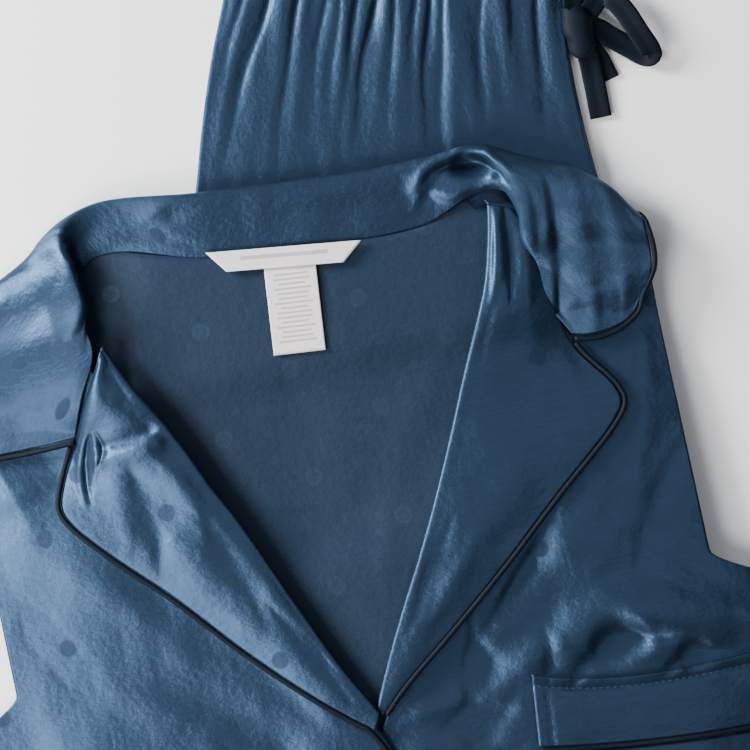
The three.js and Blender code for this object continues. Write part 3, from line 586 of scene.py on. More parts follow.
def cord_piece(name: str, line: Array) -> Piece:
    """Makes a round cord, as thick as the piping, along a line of points, closed at its ends.

    Args:
        name: the piece's name.
        line: points on the picture's axes.

    Returns:
        The piece.
    """
    count = len(line)
    along = unit(np.gradient(line, axis=0))
    side = unit(np.cross(UP, along))
    up = np.cross(along, side)
    turn = np.linspace(0, 2 * math.pi, CORD_SIDES, endpoint=False)
    spoke = np.cos(turn)[None, :, None] * side[:, None] + np.sin(turn)[None, :, None] * up[:, None]
    ring = line[:, None] + CORD_RADIUS * spoke
    uv = stacked(*np.broadcast_arrays(turn * CORD_RADIUS, run_of(line)[:, None]))
    faces: list[Sequence[int]] = [f[::-1] for f in grid_faces(count, CORD_SIDES, closed=True)]
    last = (count - 1) * CORD_SIDES
    faces += [list(range(CORD_SIDES)), list(range(last, last + CORD_SIDES))[::-1]]
    piece = make_mesh(name, ring.reshape(-1, 3), faces, uv.reshape(-1, 2))
    face_outwards(piece)
    return piece


def resampled(line: Array, step: float) -> Array:
    """Returns a line of points set evenly, about a step apart, on a smooth curve through the given ones."""
    fine = spline(line, np.linspace(0, 1, len(line) * 24))
    run = run_of(fine)
    at = np.linspace(0, run[-1], max(4, int(run[-1] / step)))
    return stacked(*(np.interp(at, run, axis) for axis in fine.T))


# Finishes

WAVE_UNIT = 6.28  # a wave texture's scale of 1 has this many turns to the unit


def srgb(hex_colour: str) -> tuple[float, float, float, float]:
    """Returns the linear colour of an sRGB hex value."""
    parts = [int(hex_colour[i : i + 2], 16) / 255 for i in (1, 3, 5)]
    r, g, b = (p / 12.92 if p <= 0.04045 else ((p + 0.055) / 1.055) ** 2.4 for p in parts)
    return (r, g, b, 1.0)


def add_node(
    tree: Tree,
    kind: str,
    settings: Optional[dict[str, object]] = None,
    values: Optional[dict[object, object]] = None,
    links: Optional[dict[object, Socket]] = None,
) -> bpy.types.Node:
    """Adds a node.

    Args:
        tree: the node tree.
        kind: the node's type.
        settings: the node's own properties.
        values: what its unlinked inputs are set to, by name or number.
        links: the output that each linked input comes from.

    Returns:
        The node.
    """
    node = tree.nodes.new(kind)
    for key, value in (settings or {}).items():
        setattr(node, key, value)
    for key, value in (values or {}).items():
        node.inputs[key].default_value = value
    for key, socket in (links or {}).items():
        tree.links.new(socket, node.inputs[key])
    return node


def add_cloth_place(tree: Tree) -> Socket:
    """Returns the place on the cloth, in metres along its weft and warp."""
    return add_node(tree, "ShaderNodeUVMap", {"uv_map": "cloth"}).outputs["UV"]


def add_range(
    tree: Tree,
    value: Socket,
    to: tuple[float, float],
    low: float = 0.0,
    high: float = 1.0,
    kind: str = "LINEAR",
) -> Socket:
    """Returns a value mapped from low and high to the two ends of to."""
    ends = {"From Min": low, "From Max": high, "To Min": to[0], "To Max": to[1]}
    node = add_node(tree, "ShaderNodeMapRange", {"interpolation_type": kind}, ends, {"Value": value})
    return node.outputs["Result"]


def add_noise(tree: Tree, place: Socket, scale: float, detail: float, roughness: float = 0.5) -> Socket:
    """Returns flat noise about 0.5 at a place."""
    values = {"Scale": scale, "Detail": detail, "Roughness": roughness}
    node = add_node(tree, "ShaderNodeTexNoise", {"noise_dimensions": "2D"}, values, {"Vector": place})
    return node.outputs["Fac"]


def add_ribs(tree: Tree, place: Socket, pitch: float, values: dict[str, float]) -> Socket:
    """Returns slanting ribs, pitch millimetres apart, with the wave's other values."""
    values = values | {"Scale": 1 / (pitch * MM) / WAVE_UNIT}
    node = add_node(tree, "ShaderNodeTexWave", {"bands_direction": "DIAGONAL"}, values, {"Vector": place})
    return node.outputs["Fac"]


def add_bump(
    tree: Tree, height: Socket, strength: float, distance: float, normal: Optional[Socket] = None
) -> Socket:
    """Returns the normal of a surface raised by height, over another normal where one is given."""
    links = {"Height": height} if normal is None else {"Height": height, "Normal": normal}
    values = {"Strength": strength, "Distance": distance}
    return add_node(tree, "ShaderNodeBump", {}, values, links).outputs["Normal"]


def new_material(name: str, values: dict[str, object]) -> tuple[Material, Tree, bpy.types.Node]:
    """Returns a new material, its node tree and its main shader, with the given values on its inputs."""
    material = bpy.data.materials.new(name)
    material.use_nodes = True
    shader = material.node_tree.nodes["Principled BSDF"]
    for key, value in values.items():
        shader.inputs[key].default_value = value
    return material, material.node_tree, shader


@dataclass(frozen=True)
class PolyesterSatin:
    """Woven polyester satin with a woven dot, dull where its face is on the back.

    Long warp floats give it a broad, stretched highlight along the weft and a dark side where they
    turn from the light.

    Attributes:
        shade: which face shows.
        ground: colour of the ground.
        dot: colour of the dots.
        roughness: of the ground and of the dots, whose floats are short.
        metallic: how far the floats of each colour what they reflect.
        dot_radius: of a dot.
        cell: the repeat's width and length; a second dot sits at its middle.
        slub: how often the slubs change over a metre of weft and of warp.
        crumple: how often the crumpling changes over a metre.
        crinkle: how often the crinkle changes over a metre of weft and of warp.
    """

    shade: Shade
    ground: str
    dot: str
    roughness: tuple[float, float]
    metallic: tuple[float, float]
    dot_radius: float = 4.0
    cell: tuple[float, float] = (74.0, 51.0)
    slub: tuple[float, float] = (60.0, 900.0)
    crumple: float = 75.0
    crinkle: tuple[float, float] = (300.0, 420.0)

    def build(self) -> Material:
        """Returns the material."""
        values = {"Specular IOR Level": 0.2, "Anisotropic": 0.75, "Anisotropic Rotation": 0.25}
        material, tree, shader = new_material(f"polyester_satin_woven_{self.shade.value}", values)
        place = add_cloth_place(tree)
        dots = self._dots(tree, place)
        ground = add_node(
            tree,
            "ShaderNodeMix",
            {"data_type": "RGBA", "blend_type": "MULTIPLY"},
            {"Factor": 1.0, 6: srgb(self.ground)},
            {7: self._tone(tree, place)},
        ).outputs[2]
        dot = {7: srgb(self.dot)}
        colour = add_node(tree, "ShaderNodeMix", {"data_type": "RGBA"}, dot, {0: dots, 6: ground})
        tangent = add_node(tree, "ShaderNodeTangent", {"direction_type": "UV_MAP", "uv_map": "cloth"})
        links = {
            "Base Color": colour.outputs[2],
            "Roughness": add_range(tree, dots, self.roughness),
            "Metallic": add_range(tree, dots, self.metallic),
            "Tangent": tangent.outputs["Tangent"],
            "Normal": self._weave(tree, place),
        }
        for key, socket in links.items():
            tree.links.new(socket, shader.inputs[key])
        return material

    def _dots(self, tree: Tree, place: Socket) -> Socket:
        """Draws the dots: 1 inside them and 0 outside; the wrong side shows them as rings."""
        width, length = (side * MM for side in self.cell)
        half = (width / 2, length / 2, 1.0)
        ends = {1: half, 2: tuple(-h for h in half)}
        kind = "ShaderNodeVectorMath"
        reach = []
        for shift in ((0.0, 0.0, 0.0), (width / 2, length / 2, 0.0)):
            moved = add_node(tree, kind, {"operation": "ADD"}, {1: shift}, {0: place})
            cell = add_node(tree, kind, {"operation": "WRAP"}, ends, {0: moved.outputs[0]})
            length_of = add_node(tree, kind, {"operation": "LENGTH"}, {}, {0: cell.outputs[0]})
            reach.append(length_of.outputs["Value"])
        node = add_node(tree, "ShaderNodeMath", {"operation": "MINIMUM"}, {}, dict(enumerate(reach)))
        nearest = node.outputs[0]
        radius = self.dot_radius * MM
        blur = 0.5 * MM
        disc = add_range(tree, nearest, (1.0, 0.0), radius - blur, radius + blur, "SMOOTHSTEP")
        if self.shade is Shade.RIGHT_SIDE:
            return disc
        hole = add_range(tree, nearest, (0.45, 1.0), radius * 0.45, radius * 0.95, "SMOOTHSTEP")
        return add_node(tree, "ShaderNodeMath", {"operation": "MULTIPLY"}, {}, {0: disc, 1: hole}).outputs[0]

    def _tone(self, tree: Tree, place: Socket) -> Socket:
        """Draws slubs: faint streaks along the weft, where a yarn is a little thicker or duller."""
        streaks = add_noise(tree, self._stretched(tree, place, self.slub), 1.0, 3.0, 0.6)
        return add_range(tree, streaks, (0.93, 1.06), 0.25, 0.75)

    def _weave(self, tree: Tree, place: Socket) -> Socket:
        """Raises the cloth's slight crumpling and its fine crinkle, which break up the satin's highlight."""
        crumple = add_bump(tree, add_noise(tree, place, self.crumple, 2.0), 0.22, 0.0014)
        crinkle = add_noise(tree, self._stretched(tree, place, self.crinkle), 1.0, 4.0, 0.62)
        return add_bump(tree, crinkle, 0.55, 0.0004, crumple)

    def _stretched(self, tree: Tree, place: Socket, scale: tuple[float, float]) -> Socket:
        """Returns the place on the cloth, scaled along the weft and the warp."""
        return add_node(tree, "ShaderNodeMapping", {}, {"Scale": (*scale, 1.0)}, {"Vector": place}).outputs[0]


@dataclass(frozen=True)
class RibbonSatin:
    """Narrow dark satin, cut on the bias for piping or woven as a ribbon: a dull sheen on near black.

    Attributes:
        colour: of the yarn.
        roughness: of its face.
        rib: how far apart its ribs are.
    """

    colour: str
    roughness: float = 0.62
    rib: float = 0.45

    def build(self) -> Material:
        """Returns the material."""
        values = {"Base Color": srgb(self.colour), "Roughness": self.roughness, "Specular IOR Level": 0.1}
        material, tree, shader = new_material("ribbon_satin_woven", values)
        ribs = add_ribs(tree, add_cloth_place(tree), self.rib, {"Distortion": 0.6, "Detail": 1.0})
        tree.links.new(add_bump(tree, ribs, 0.2, 0.0001), shader.inputs["Normal"])
        return material


@dataclass(frozen=True)
class LabelWeave:
    """White damask label tape: fine, matt and a little warm, with plain grey bars woven in.

    Attributes:
        name: the material's name.
        colour: of the tape.
        bar: colour of the bars.
        line: distance between two bars, or 0 for none.
        start: where the first bar is, from the tape's upper edge.
        stop: where the last bar is.
        wide: half the tape's printed width.
        margin: bare cloth at each end of a bar, as a share of wide.
        share: how much of each line its bar takes up.
        strength: of the bars.
        weave: how often the weave changes over a metre.
    """

    name: str
    colour: str
    bar: str
    line: float = 4.4
    start: float = 2.9
    stop: float = 6.6
    wide: float = 24.0
    margin: float = 0.16
    share: float = 0.42
    strength: float = 0.75
    weave: float = 1800.0

    def build(self) -> Material:
        """Returns the material."""
        material, tree, shader = new_material(self.name, {"Roughness": 0.55})
        place = add_cloth_place(tree)
        tones = {6: srgb(self.colour), 7: srgb(self.bar)}
        tone = add_node(tree, "ShaderNodeMix", {"data_type": "RGBA"}, tones, {0: self._bars(tree, place)})
        tree.links.new(tone.outputs[2], shader.inputs["Base Color"])
        weave = add_noise(tree, place, self.weave, 2.0)
        tree.links.new(add_bump(tree, weave, 0.2, 0.0002), shader.inputs["Normal"])
        return material

    def _bars(self, tree: Tree, place: Socket) -> Socket:
        """Draws the bars: 1 on them and 0 between them."""

        def sum_of(kind: str, first: object, second: object) -> Socket:
            """Returns the result of a sum, each side a number or an output."""
            node = tree.nodes.new("ShaderNodeMath")
            node.operation = kind
            for socket, value in zip(node.inputs, (first, second)):
                if isinstance(value, float):
                    socket.default_value = value
                else:
                    tree.links.new(value, socket)
            return node.outputs[0]

        split = add_node(tree, "ShaderNodeSeparateXYZ", {}, {}, {0: place})
        down = sum_of("MULTIPLY", split.outputs["Y"], -1 / MM)
        row = sum_of("DIVIDE", sum_of("SUBTRACT", down, self.start), self.line)
        part = sum_of("FRACT", row, 0.0)
        number = sum_of("FLOOR", row, 0.0)
        dark = sum_of("LESS_THAN", part, self.share)
        below = sum_of("GREATER_THAN", down, self.start)
        above = sum_of("LESS_THAN", down, self.stop)
        across = sum_of("ABSOLUTE", split.outputs["X"], 0.0)
        margin = self.wide * self.margin
        uneven = sum_of("MULTIPLY", sum_of("SINE", sum_of("MULTIPLY", number, 2.4), 0.0), margin)
        end = sum_of("ADD", uneven, self.wide * (1 - self.margin))
        ends = sum_of("LESS_THAN", sum_of("MULTIPLY", across, 1 / MM), end)
        here = sum_of("MULTIPLY", sum_of("MULTIPLY", dark, below), sum_of("MULTIPLY", above, ends))
        return sum_of("MULTIPLY", here, self.strength)


@dataclass(frozen=True)
class SpunThread:
    """Spun polyester sewing thread in the cloth's own colour: matt, with a fine twist.

    Attributes:
        colour: of the thread.
        twist: length of a turn, drawn coarser than the real 0.3 mm so that it shows.
    """

    colour: str
    twist: float = 0.8

    def build(self) -> Material:
        """Returns the material."""
        values = {"Base Color": srgb(self.colour), "Roughness": 0.7, "Specular IOR Level": 0.2}
        material, tree, shader = new_material("spun_polyester_thread", values)
        place = add_node(tree, "ShaderNodeTexCoord").outputs["Object"]
        plies = add_ribs(tree, place, self.twist, {})
        tree.links.new(add_bump(tree, plies, 0.4, 0.0001), shader.inputs["Normal"])
        return material


@dataclass(frozen=True)
class DyedResin:
    """Cast polyester resin, as buttons are: glossy and slightly cloudy.

    Attributes:
        colour: of the resin.
    """

    colour: str

    def build(self) -> Material:
        """Returns the material."""
        values = {"Base Color": srgb(self.colour), "Roughness": 0.22, "Coat Weight": 0.3}
        return new_material("polyester_resin_cast", values)[0]


@dataclass(frozen=True)
class PlainFloor:
    """A plain pale matt floor.

    Attributes:
        colour: of the floor.
    """

    colour: str

    def build(self) -> Material:
        """Returns the material."""
        values = {"Base Color": srgb(self.colour), "Roughness": 0.9, "Specular IOR Level": 0.1}
        return new_material("matt_paper", values)[0]


@dataclass
class Wardrobe:
    """Every finish of the set, made once."""

    satin: Material = field(init=False)
    wrong_side: Material = field(init=False)
    trim: Material = field(init=False)
    label: Material = field(init=False)
    tag: Material = field(init=False)
    button: Material = field(init=False)
    thread: Material = field(init=False)

    def __post_init__(self) -> None:
        """Builds the materials."""
        self.satin = PolyesterSatin(
            Shade.RIGHT_SIDE, "#2f4259", "#26384e", roughness=(0.46, 0.66), metallic=(0.8, 0.6)
        ).build()
        self.wrong_side = PolyesterSatin(
            Shade.WRONG_SIDE, "#1c2a3b", "#243546", roughness=(0.65, 0.5), metallic=(0.1, 0.3)
        ).build()
        self.trim = RibbonSatin("#0a121b").build()
        self.label = LabelWeave("damask_tape_woven", "#cfc7c6", "#8b8786").build()
        self.tag = LabelWeave(
            "printed_tape_woven", "#cfc7c6", "#8b8786", line=2.2, start=4.0, stop=37.0, wide=9.0
        ).build()
        self.button = DyedResin("#20384c").build()
        self.thread = SpunThread("#1d2c3e").build()


def dress(piece: Piece, material: Material, slot: str, *nodes: str) -> None:
    """Finishes a piece.

    Args:
        piece: the piece.
        material: its finish.
        slot: not used.
        nodes: the CAD nodes that it replaces.
    """
    piece.data.materials.clear()
    piece.data.materials.append(material)
    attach(piece, "root")
    if nodes:
        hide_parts(*nodes)
    log.info("%s: %d faces", piece.name, len(piece.data.polygons))


def pipe(node: str, line: Array, trim: Material) -> None:
    """Makes the piping that replaces a CAD node, along a line of points."""
    dress(cord_piece(f"{node}_cord", line), trim, "trim", node)


def sew(
    name: str, lines: Sequence[Array], finish: Material, thread: float = 0.26, pitch: float = 3.0
) -> None:
    """Makes rows of lockstitches, each a bead whose ends dip into the cloth.

    Args:
        name: the piece's name.
        lines: the rows, on the picture's axes.
        finish: the thread's finish.
        thread: the thread's radius.
        pitch: from one stitch to the next, or 0 for one between each two points.
    """
    along = np.array([-1.0, -0.6, 0.6, 1.0])[:, None, None]
    swell = np.array([0.3, 1.0, 1.0, 0.3])[:, None, None] * thread
    dip = np.array([-1.4, 0.0, 0.0, -1.4])[:, None, None] * thread
    turn = np.linspace(0, 2 * math.pi, 5, endpoint=False)[None, :, None]
    bead = grid_faces(4, 5, closed=True) + [(4, 3, 2, 1, 0), (15, 16, 17, 18, 19)]
    points, faces = [], []
    for line in lines:
        knots = resampled(line, pitch) if pitch else line
        for start, stop in zip(knots[:-1], knots[1:]):
            run = (stop - start) * 0.42
            side = np.array([-run[1], run[0], 0.0]) / math.hypot(run[0], run[1])
            spoke = np.cos(turn) * side + np.sin(turn) * UP
            ring = (start + stop) / 2 + along * run + spoke * swell + dip * UP
            faces += [tuple(20 * len(points) + corner for corner in face) for face in bead]
            points.append(ring.reshape(-1, 3))
    dress(make_mesh(name, np.concatenate(points), faces), finish, "satin")


# The trousers


@dataclass(frozen=True)
class Gather:
    """One trough of the gathers.

    Attributes:
        waist: its place across the leg at the waist, from 0 to 1.
        low: its place at GATHER_LOW.
        end: the height where it ends.
        depth: its depth, as a share of GATHER_DEPTH.
    """

    waist: float
    low: float
    end: float
    depth: float


GATHERS = (
    Gather(0.051, 0.02, 60, 0.6),
    Gather(0.134, 0.055, 43, 1.0),
    Gather(0.222, 0.196, 33, 0.95),
    Gather(0.299, 0.282, 73, 0.7),
    Gather(0.345, 0.328, 82, 0.55),
    Gather(0.401, 0.356, 60, 0.8),
    Gather(0.451, 0.39, 37, 1.0),
    Gather(0.51, 0.487, 62, 0.7),
    Gather(0.573, 0.548, 75, 0.6),
    Gather(0.611, 0.586, 43, 0.9),
    Gather(0.656, 0.628, 47, 1.0),
    Gather(0.767, 0.739, 50, 0.6),
    Gather(0.854, 0.826, 66, 0.4),
    Gather(0.936, 0.9, 42, 0.7),
)


@dataclass
class Trousers:
    """The trousers, folded in half lengthways with the centre front at the right.

    Attributes:
        finish: every finish of the set.
        fine: step between rows under the waist.
        waist_full: cut width of one folded leg before it is gathered.
        loose: how much of the solid's gathers the thin cloth keeps.
    """

    finish: Wardrobe
    fine: float = 1.6
    waist_full: float = 260.0
    loose: float = 0.55

    def build(self) -> None:
        """Makes the two legs and the waistband."""
        over = LEG_THICK + SEAM_GAP
        self._leg("leg_under", "leg_left", floor=0.0, shift=1.0, hem_shift=-9.0, strength=0.35)
        self._leg("leg_upper", "leg_right", floor=over, shift=0.0, hem_shift=0.0, strength=1.0)
        self._waistband()
        self._stitches()

    def _stitches(self) -> None:
        """Makes two rows of stitches along the casing and one along the upper leg's hem."""
        b = np.linspace(0.03, 0.97, 300)
        rows = []
        for y in (WAIST_TOP - 5.0, WAISTBAND_LOW + 5.0):
            yy = np.full_like(b, y)
            left, right = leg_left(yy) - 1, leg_right(yy) + 1
            height = self._casing_height(b, yy) + SHELL / 2
            rows.append(stacked(left + (right - left) * b, yy, height))
        yy = np.full_like(b, TROUSER_HEM + HEM_STITCHED)
        left, right = leg_left(yy), leg_right(yy)
        height = self._top_height(b, yy, LEG_THICK + SEAM_GAP, 1.0) + 0.1
        rows.append(stacked(left + (right - left) * b, yy, height))
        sew("stitches_trousers", rows, self.finish.thread)

    def _casing_height(self, b: Array, y: Array) -> Array:
        """Returns the height of the casing's upper face, at b across it and height y."""
        edge = np.minimum(CASING_HALF - np.abs(y - CASING_MIDDLE), 4) / 4
        crown = 1.4 * np.sqrt(np.clip(edge, 0, 1)) * smooth(np.minimum(b, 1 - b), 0, 0.03)
        ruck = 1.5 * self._troughs(b, np.full_like(y, WAISTBAND_LOW)) + 0.35 * np.sin(b * 190)
        return LEG_STACK + 0.2 + crown - ruck * smooth(np.minimum(b, 1 - b), 0, 0.05)

    def _troughs(self, b: Array, y: Array) -> Array:
        """Returns the gathers' depth, 0 to about 1, at b across the leg and height y."""
        part = np.clip((WAISTBAND_LOW - y) / (WAISTBAND_LOW - GATHER_LOW), 0, 1.15)
        total = np.zeros_like(b)
        for k, g in enumerate(GATHERS):
            place = g.waist + (g.low - g.waist) * part + 0.004 * np.sin(y / 9.0 + 2.3 * k)
            lean = 1 + 0.35 * math.sin(1.9 * k)
            near = (b - place) / (0.0125 + 0.012 * part)
            near = np.where(near > 0, near * lean, near / lean)
            fade = 0.25 + 0.75 * smooth(y, g.end - 36, g.end + 40)
            total += g.depth * fade * np.exp(-np.abs(near) ** 1.5)
        return total

    def _top_height(self, b: Array, y: Array, floor: float, strength: float) -> Array:
        """Returns the height of a leg's upper face."""
        power = strength * (0.3 + 0.7 * smooth(y, GATHER_END, 130))
        rounded = smooth(np.minimum(b, 1 - b), 0, 0.045)
        soft = 0.5 * power * np.sin(b * 2 * math.pi * 6.3 + 0.8 * np.sin(y / 17)) * smooth(y, 30, 110)
        gathers = GATHER_CREST * rounded - GATHER_DEPTH * self._troughs(b, y)
        waves = self.loose * gathers * power + soft * rounded
        fine = 0.2 * ripple(b * 180, y, 8.5, 1.0, seed=12, stretch=9.0) * (0.35 + 0.65 * power)
        still = (0.16 * ripple(b * 180, y, 34, 1.0, seed=11, stretch=2.2) + fine) * rounded * strength
        hem = y - TROUSER_HEM - HEM_STITCHED
        turned_up = 0.3 * (1 - smooth(hem, 0, 1.5)) - 0.5 * bell(hem, 1.6)
        return floor + LEG_THICK + waves + still + turned_up * rounded

    def _leg(
        self, name: str, node: str, floor: float, shift: float, hem_shift: float, strength: float
    ) -> None:
        """Makes one leg: a flattened tube, closed round its side folds.

        Args:
            name: the piece's name.
            node: the CAD node that it replaces.
            floor: height of its underside.
            shift: how far it is moved to the right.
            hem_shift: how far its hem is moved down.
            strength: how strongly it is gathered.
        """
        upmost = strength == 1
        top = np.arange(WAISTBAND_LOW - SEAM_GAP, -30, -self.fine if upmost else -8)
        low = np.linspace(-34, TROUSER_HEM + 28, 66)
        low = np.concatenate([low, np.linspace(TROUSER_HEM + 26, TROUSER_HEM, 18)])
        ys = np.concatenate([top, low])
        b = np.linspace(0, 1, 190) if upmost else 0.5 - 0.5 * np.cos(np.linspace(0, math.pi, 60))
        bb, yy = np.meshgrid(b, ys)
        left, right = leg_left(yy), leg_right(yy)
        x = left + (right - left) * bb + shift
        upper = self._top_height(bb, yy, floor, strength)
        under = np.full_like(upper, floor + 0.02)
        rim = 0.5 * LEG_THICK
        fold = np.linspace(0, math.pi, 7)[1:-1]
        right_fold = self._fold(x[:, -1], yy[:, -1], upper[:, -1], under[:, -1], fold, rim)
        left_fold = self._fold(x[:, 0], yy[:, 0], upper[:, 0], under[:, 0], fold, -rim)[:, ::-1]
        lower = stacked(x, yy, under)[:, ::-1][:, :: (6 if upmost else 3)]
        ring = np.concatenate([stacked(x, yy, upper), right_fold, lower, left_fold], axis=1)
        ring[-1, :, 1] += hem_shift
        width = self.waist_full + (right - left - self.waist_full) * smooth(-yy, -WAISTBAND_LOW, 160)
        uv = np.zeros((*ring.shape[:2], 2))
        uv[:, : bb.shape[1], 0] = width * (bb - 0.5) + LEG_DOTS[0]
        uv[:, bb.shape[1] :, 0] = ring[:, bb.shape[1] :, 0]
        uv[..., 1] = ring[..., 1] + LEG_DOTS[1]
        piece = tube_piece(name, ring, uv)
        dress(piece, self.finish.satin, "satin", node)

    def _fold(self, x: Array, y: Array, top: Array, low: Array, turn: Array, reach: float) -> Array:
        """Returns the points of a side fold, from the upper face round to the lower one."""
        middle, half = (top + low) / 2, (top - low) / 2
        out = x[:, None] + reach * np.sin(turn)[None, :]
        height = middle[:, None] + half[:, None] * np.cos(turn)[None, :]
        return stacked(out, np.tile(y[:, None], (1, len(turn))), height)

    def _waistband(self) -> None:
        """Makes the gathered casing, rounded over its top and foot."""
        turn = np.linspace(-math.pi / 2, math.pi / 2, 26)
        ys = CASING_MIDDLE + CASING_HALF * np.sin(turn)
        b = np.linspace(0, 1, 170)
        bb, yy = np.meshgrid(b, ys)
        left, right = leg_left(yy) - 1, leg_right(yy) + 1
        x = left + (right - left) * bb
        height = self._casing_height(bb, yy)
        low = stacked(x[:, ::-5], yy[:, ::-5], np.full_like(x[:, ::-5], 0.02))
        ring = np.concatenate([stacked(x, yy, height), low], axis=1)
        uv = stacked(ring[..., 0] * 1.7, ring[..., 1])
        ring, uv = ring.transpose(1, 0, 2), uv.transpose(1, 0, 2)
        piece = tube_piece("waistband_casing", ring, uv)
        dress(piece, self.finish.satin, "satin", "waistband")


@dataclass
class Drawstring:
    """The dark ribbon's bow beside the centre front.

    Attributes:
        finish: every finish of the set.
        width: of the ribbon.
        thick: of the ribbon.
        knot: middle of the knot.
        knot_size: half its width, height and length.
        knot_turn: how far it is turned, in degrees.
        runs: for each CAD node, its stations: x, y, z and lean.
    """

    finish: Wardrobe
    width: float = 10.0
    thick: float = 0.7
    knot: tuple[float, float, float] = (136.2, 102.5, 6.6)
    knot_size: tuple[float, float, float] = (7.0, 4.6, 14.5)
    knot_turn: float = 12.0
    runs: dict[str, list[tuple[float, float, float, float]]] = field(
        default_factory=lambda: {
            "drawstring_eyelet_front": [
                (123.5, 131, 8.6, 0.1), (131, 129, 8.4, -0.2), (136, 121, 7.6, -0.5),
                (137, 111.5, 6.8, -0.4),
            ],
            "drawstring_loop_front": [
                (138.0, 104, 6.8, 0.4), (141.6, 111, 7.4, 0.3), (148, 118, 8.4, 0.25),
                (156, 112, 8.8, 0.1), (164, 100.5, 8.6, 0), (169.5, 92.5, 7.2, 0),
                (169.9, 90.6, 5.2, 0), (167.5, 90.5, 3.2, 0), (160, 94.5, 2.6, 0.05),
                (151, 99.5, 3.4, 0.1), (145, 103, 4.8, 0.2), (139, 104.5, 5.2, 0.2),
            ],
            "drawstring_loop_back": [
                (133.5, 111.5, 9.6, 0.3), (133, 121, 11.8, 0.2), (137, 138, 11.9, 0),
                (142.5, 152, 10.2, 0), (144.5, 157, 7.6, 0), (145.5, 156.5, 4.4, 0),
                (146, 152, 2.4, 0), (144.6, 138, 2.0, 0), (143.2, 124, 3.2, 0.2),
                (141.5, 116.5, 3.6, 0.3), (139, 109, 4.2, 0.3),
            ],
            "drawstring_end_front": [
                (139, 95, 6.2, -0.2), (141.5, 88, 4.4, -0.1), (144, 78, 2.1, 0),
                (147.2, 62, 1.6, 0),
            ],
            "drawstring_end_back": [
                (140.5, 96, 3.0, 0.2), (146.5, 88.5, 1.2, 0.05), (148.6, 84.5, 0.8, 0.02),
                (151, 79.5, 0.6, 0),
            ],
        }
    )

    def build(self) -> None:
        """Makes the ribbon's runs and its knot."""
        for node, stations in self.runs.items():
            self._ribbon(node, np.array(stations))
        self._knot()

    def _ribbon(self, node: str, stations: Array) -> None:
        """Makes one run of ribbon, its edges a little curled.

        Args:
            node: the CAD node that it replaces.
            stations: x, y, z and lean, one row each.
        """
        at = np.linspace(0, 1, 60)
        line = spline(stations[:, :3], at)
        lean = np.interp(at * (len(stations) - 1), np.arange(len(stations)), stations[:, 3])
        along = unit(np.gradient(line, axis=0))
        level = unit(stacked(-along[:, 1], along[:, 0], np.zeros(len(at))))
        across = level * np.cos(lean)[:, None] + UP * np.sin(lean)[:, None]
        up = np.cross(along, across)
        up *= np.sign(up[:1, 2:3]) if abs(up[0, 2]) > 0.2 else 1.0
        b = np.linspace(-1, 1, 9)
        curl = 0.22 * (b**2) - 0.12 * np.cos(2 * math.pi * b)
        run = run_of(line)
        half = b * self.width / 2
        grid = line[:, None] + half[None, :, None] * across[:, None] + curl[None, :, None] * up[:, None]
        grid += 0.15 * np.sin(run / 2.9)[:, None, None] * up[:, None]
        uv = stacked(*np.broadcast_arrays(half, run[:, None]))
        piece = cloth_piece(node.replace("drawstring", "ribbon"), grid, uv, self.thick, in_top=False)
        dress(piece, self.finish.trim, "trim", node)

    def _knot(self) -> None:
        """Makes the knot: the ribbon wrapped round itself and pulled tight, creased along its wraps."""
        around = np.linspace(0, 2 * math.pi, 72, endpoint=False)
        t, turn = crossed(np.linspace(-1, 1, 41), around)
        round_off = (1 - np.abs(t) ** 2.6) ** 0.5
        wraps = 0.75 * np.abs(np.sin(2.3 * t + 0.8 * np.sin(turn) + 0.5)) ** 0.7
        wraps = wraps + 0.3 * np.sin(7.5 * t - 1.6 * turn)
        side, height, length = self.knot_size
        x = (side + wraps - 0.6) * round_off * np.cos(turn)
        z = (height + 0.7 * wraps - 0.4) * round_off * np.sin(turn)
        y = length * t
        c, s = heading(self.knot_turn)
        ring = stacked(x * c - y * s, x * s + y * c, z) + np.array(self.knot)
        faces = grid_faces(*ring.shape[:2], closed=True)
        uv = stacked(y, turn * 5).reshape(-1, 2)
        piece = make_mesh("ribbon_knot", ring.reshape(-1, 3), faces, uv)
        face_outwards(piece, weld=0.05 * MM)
        dress(piece, self.finish.trim, "trim", "drawstring_knot")


# The top


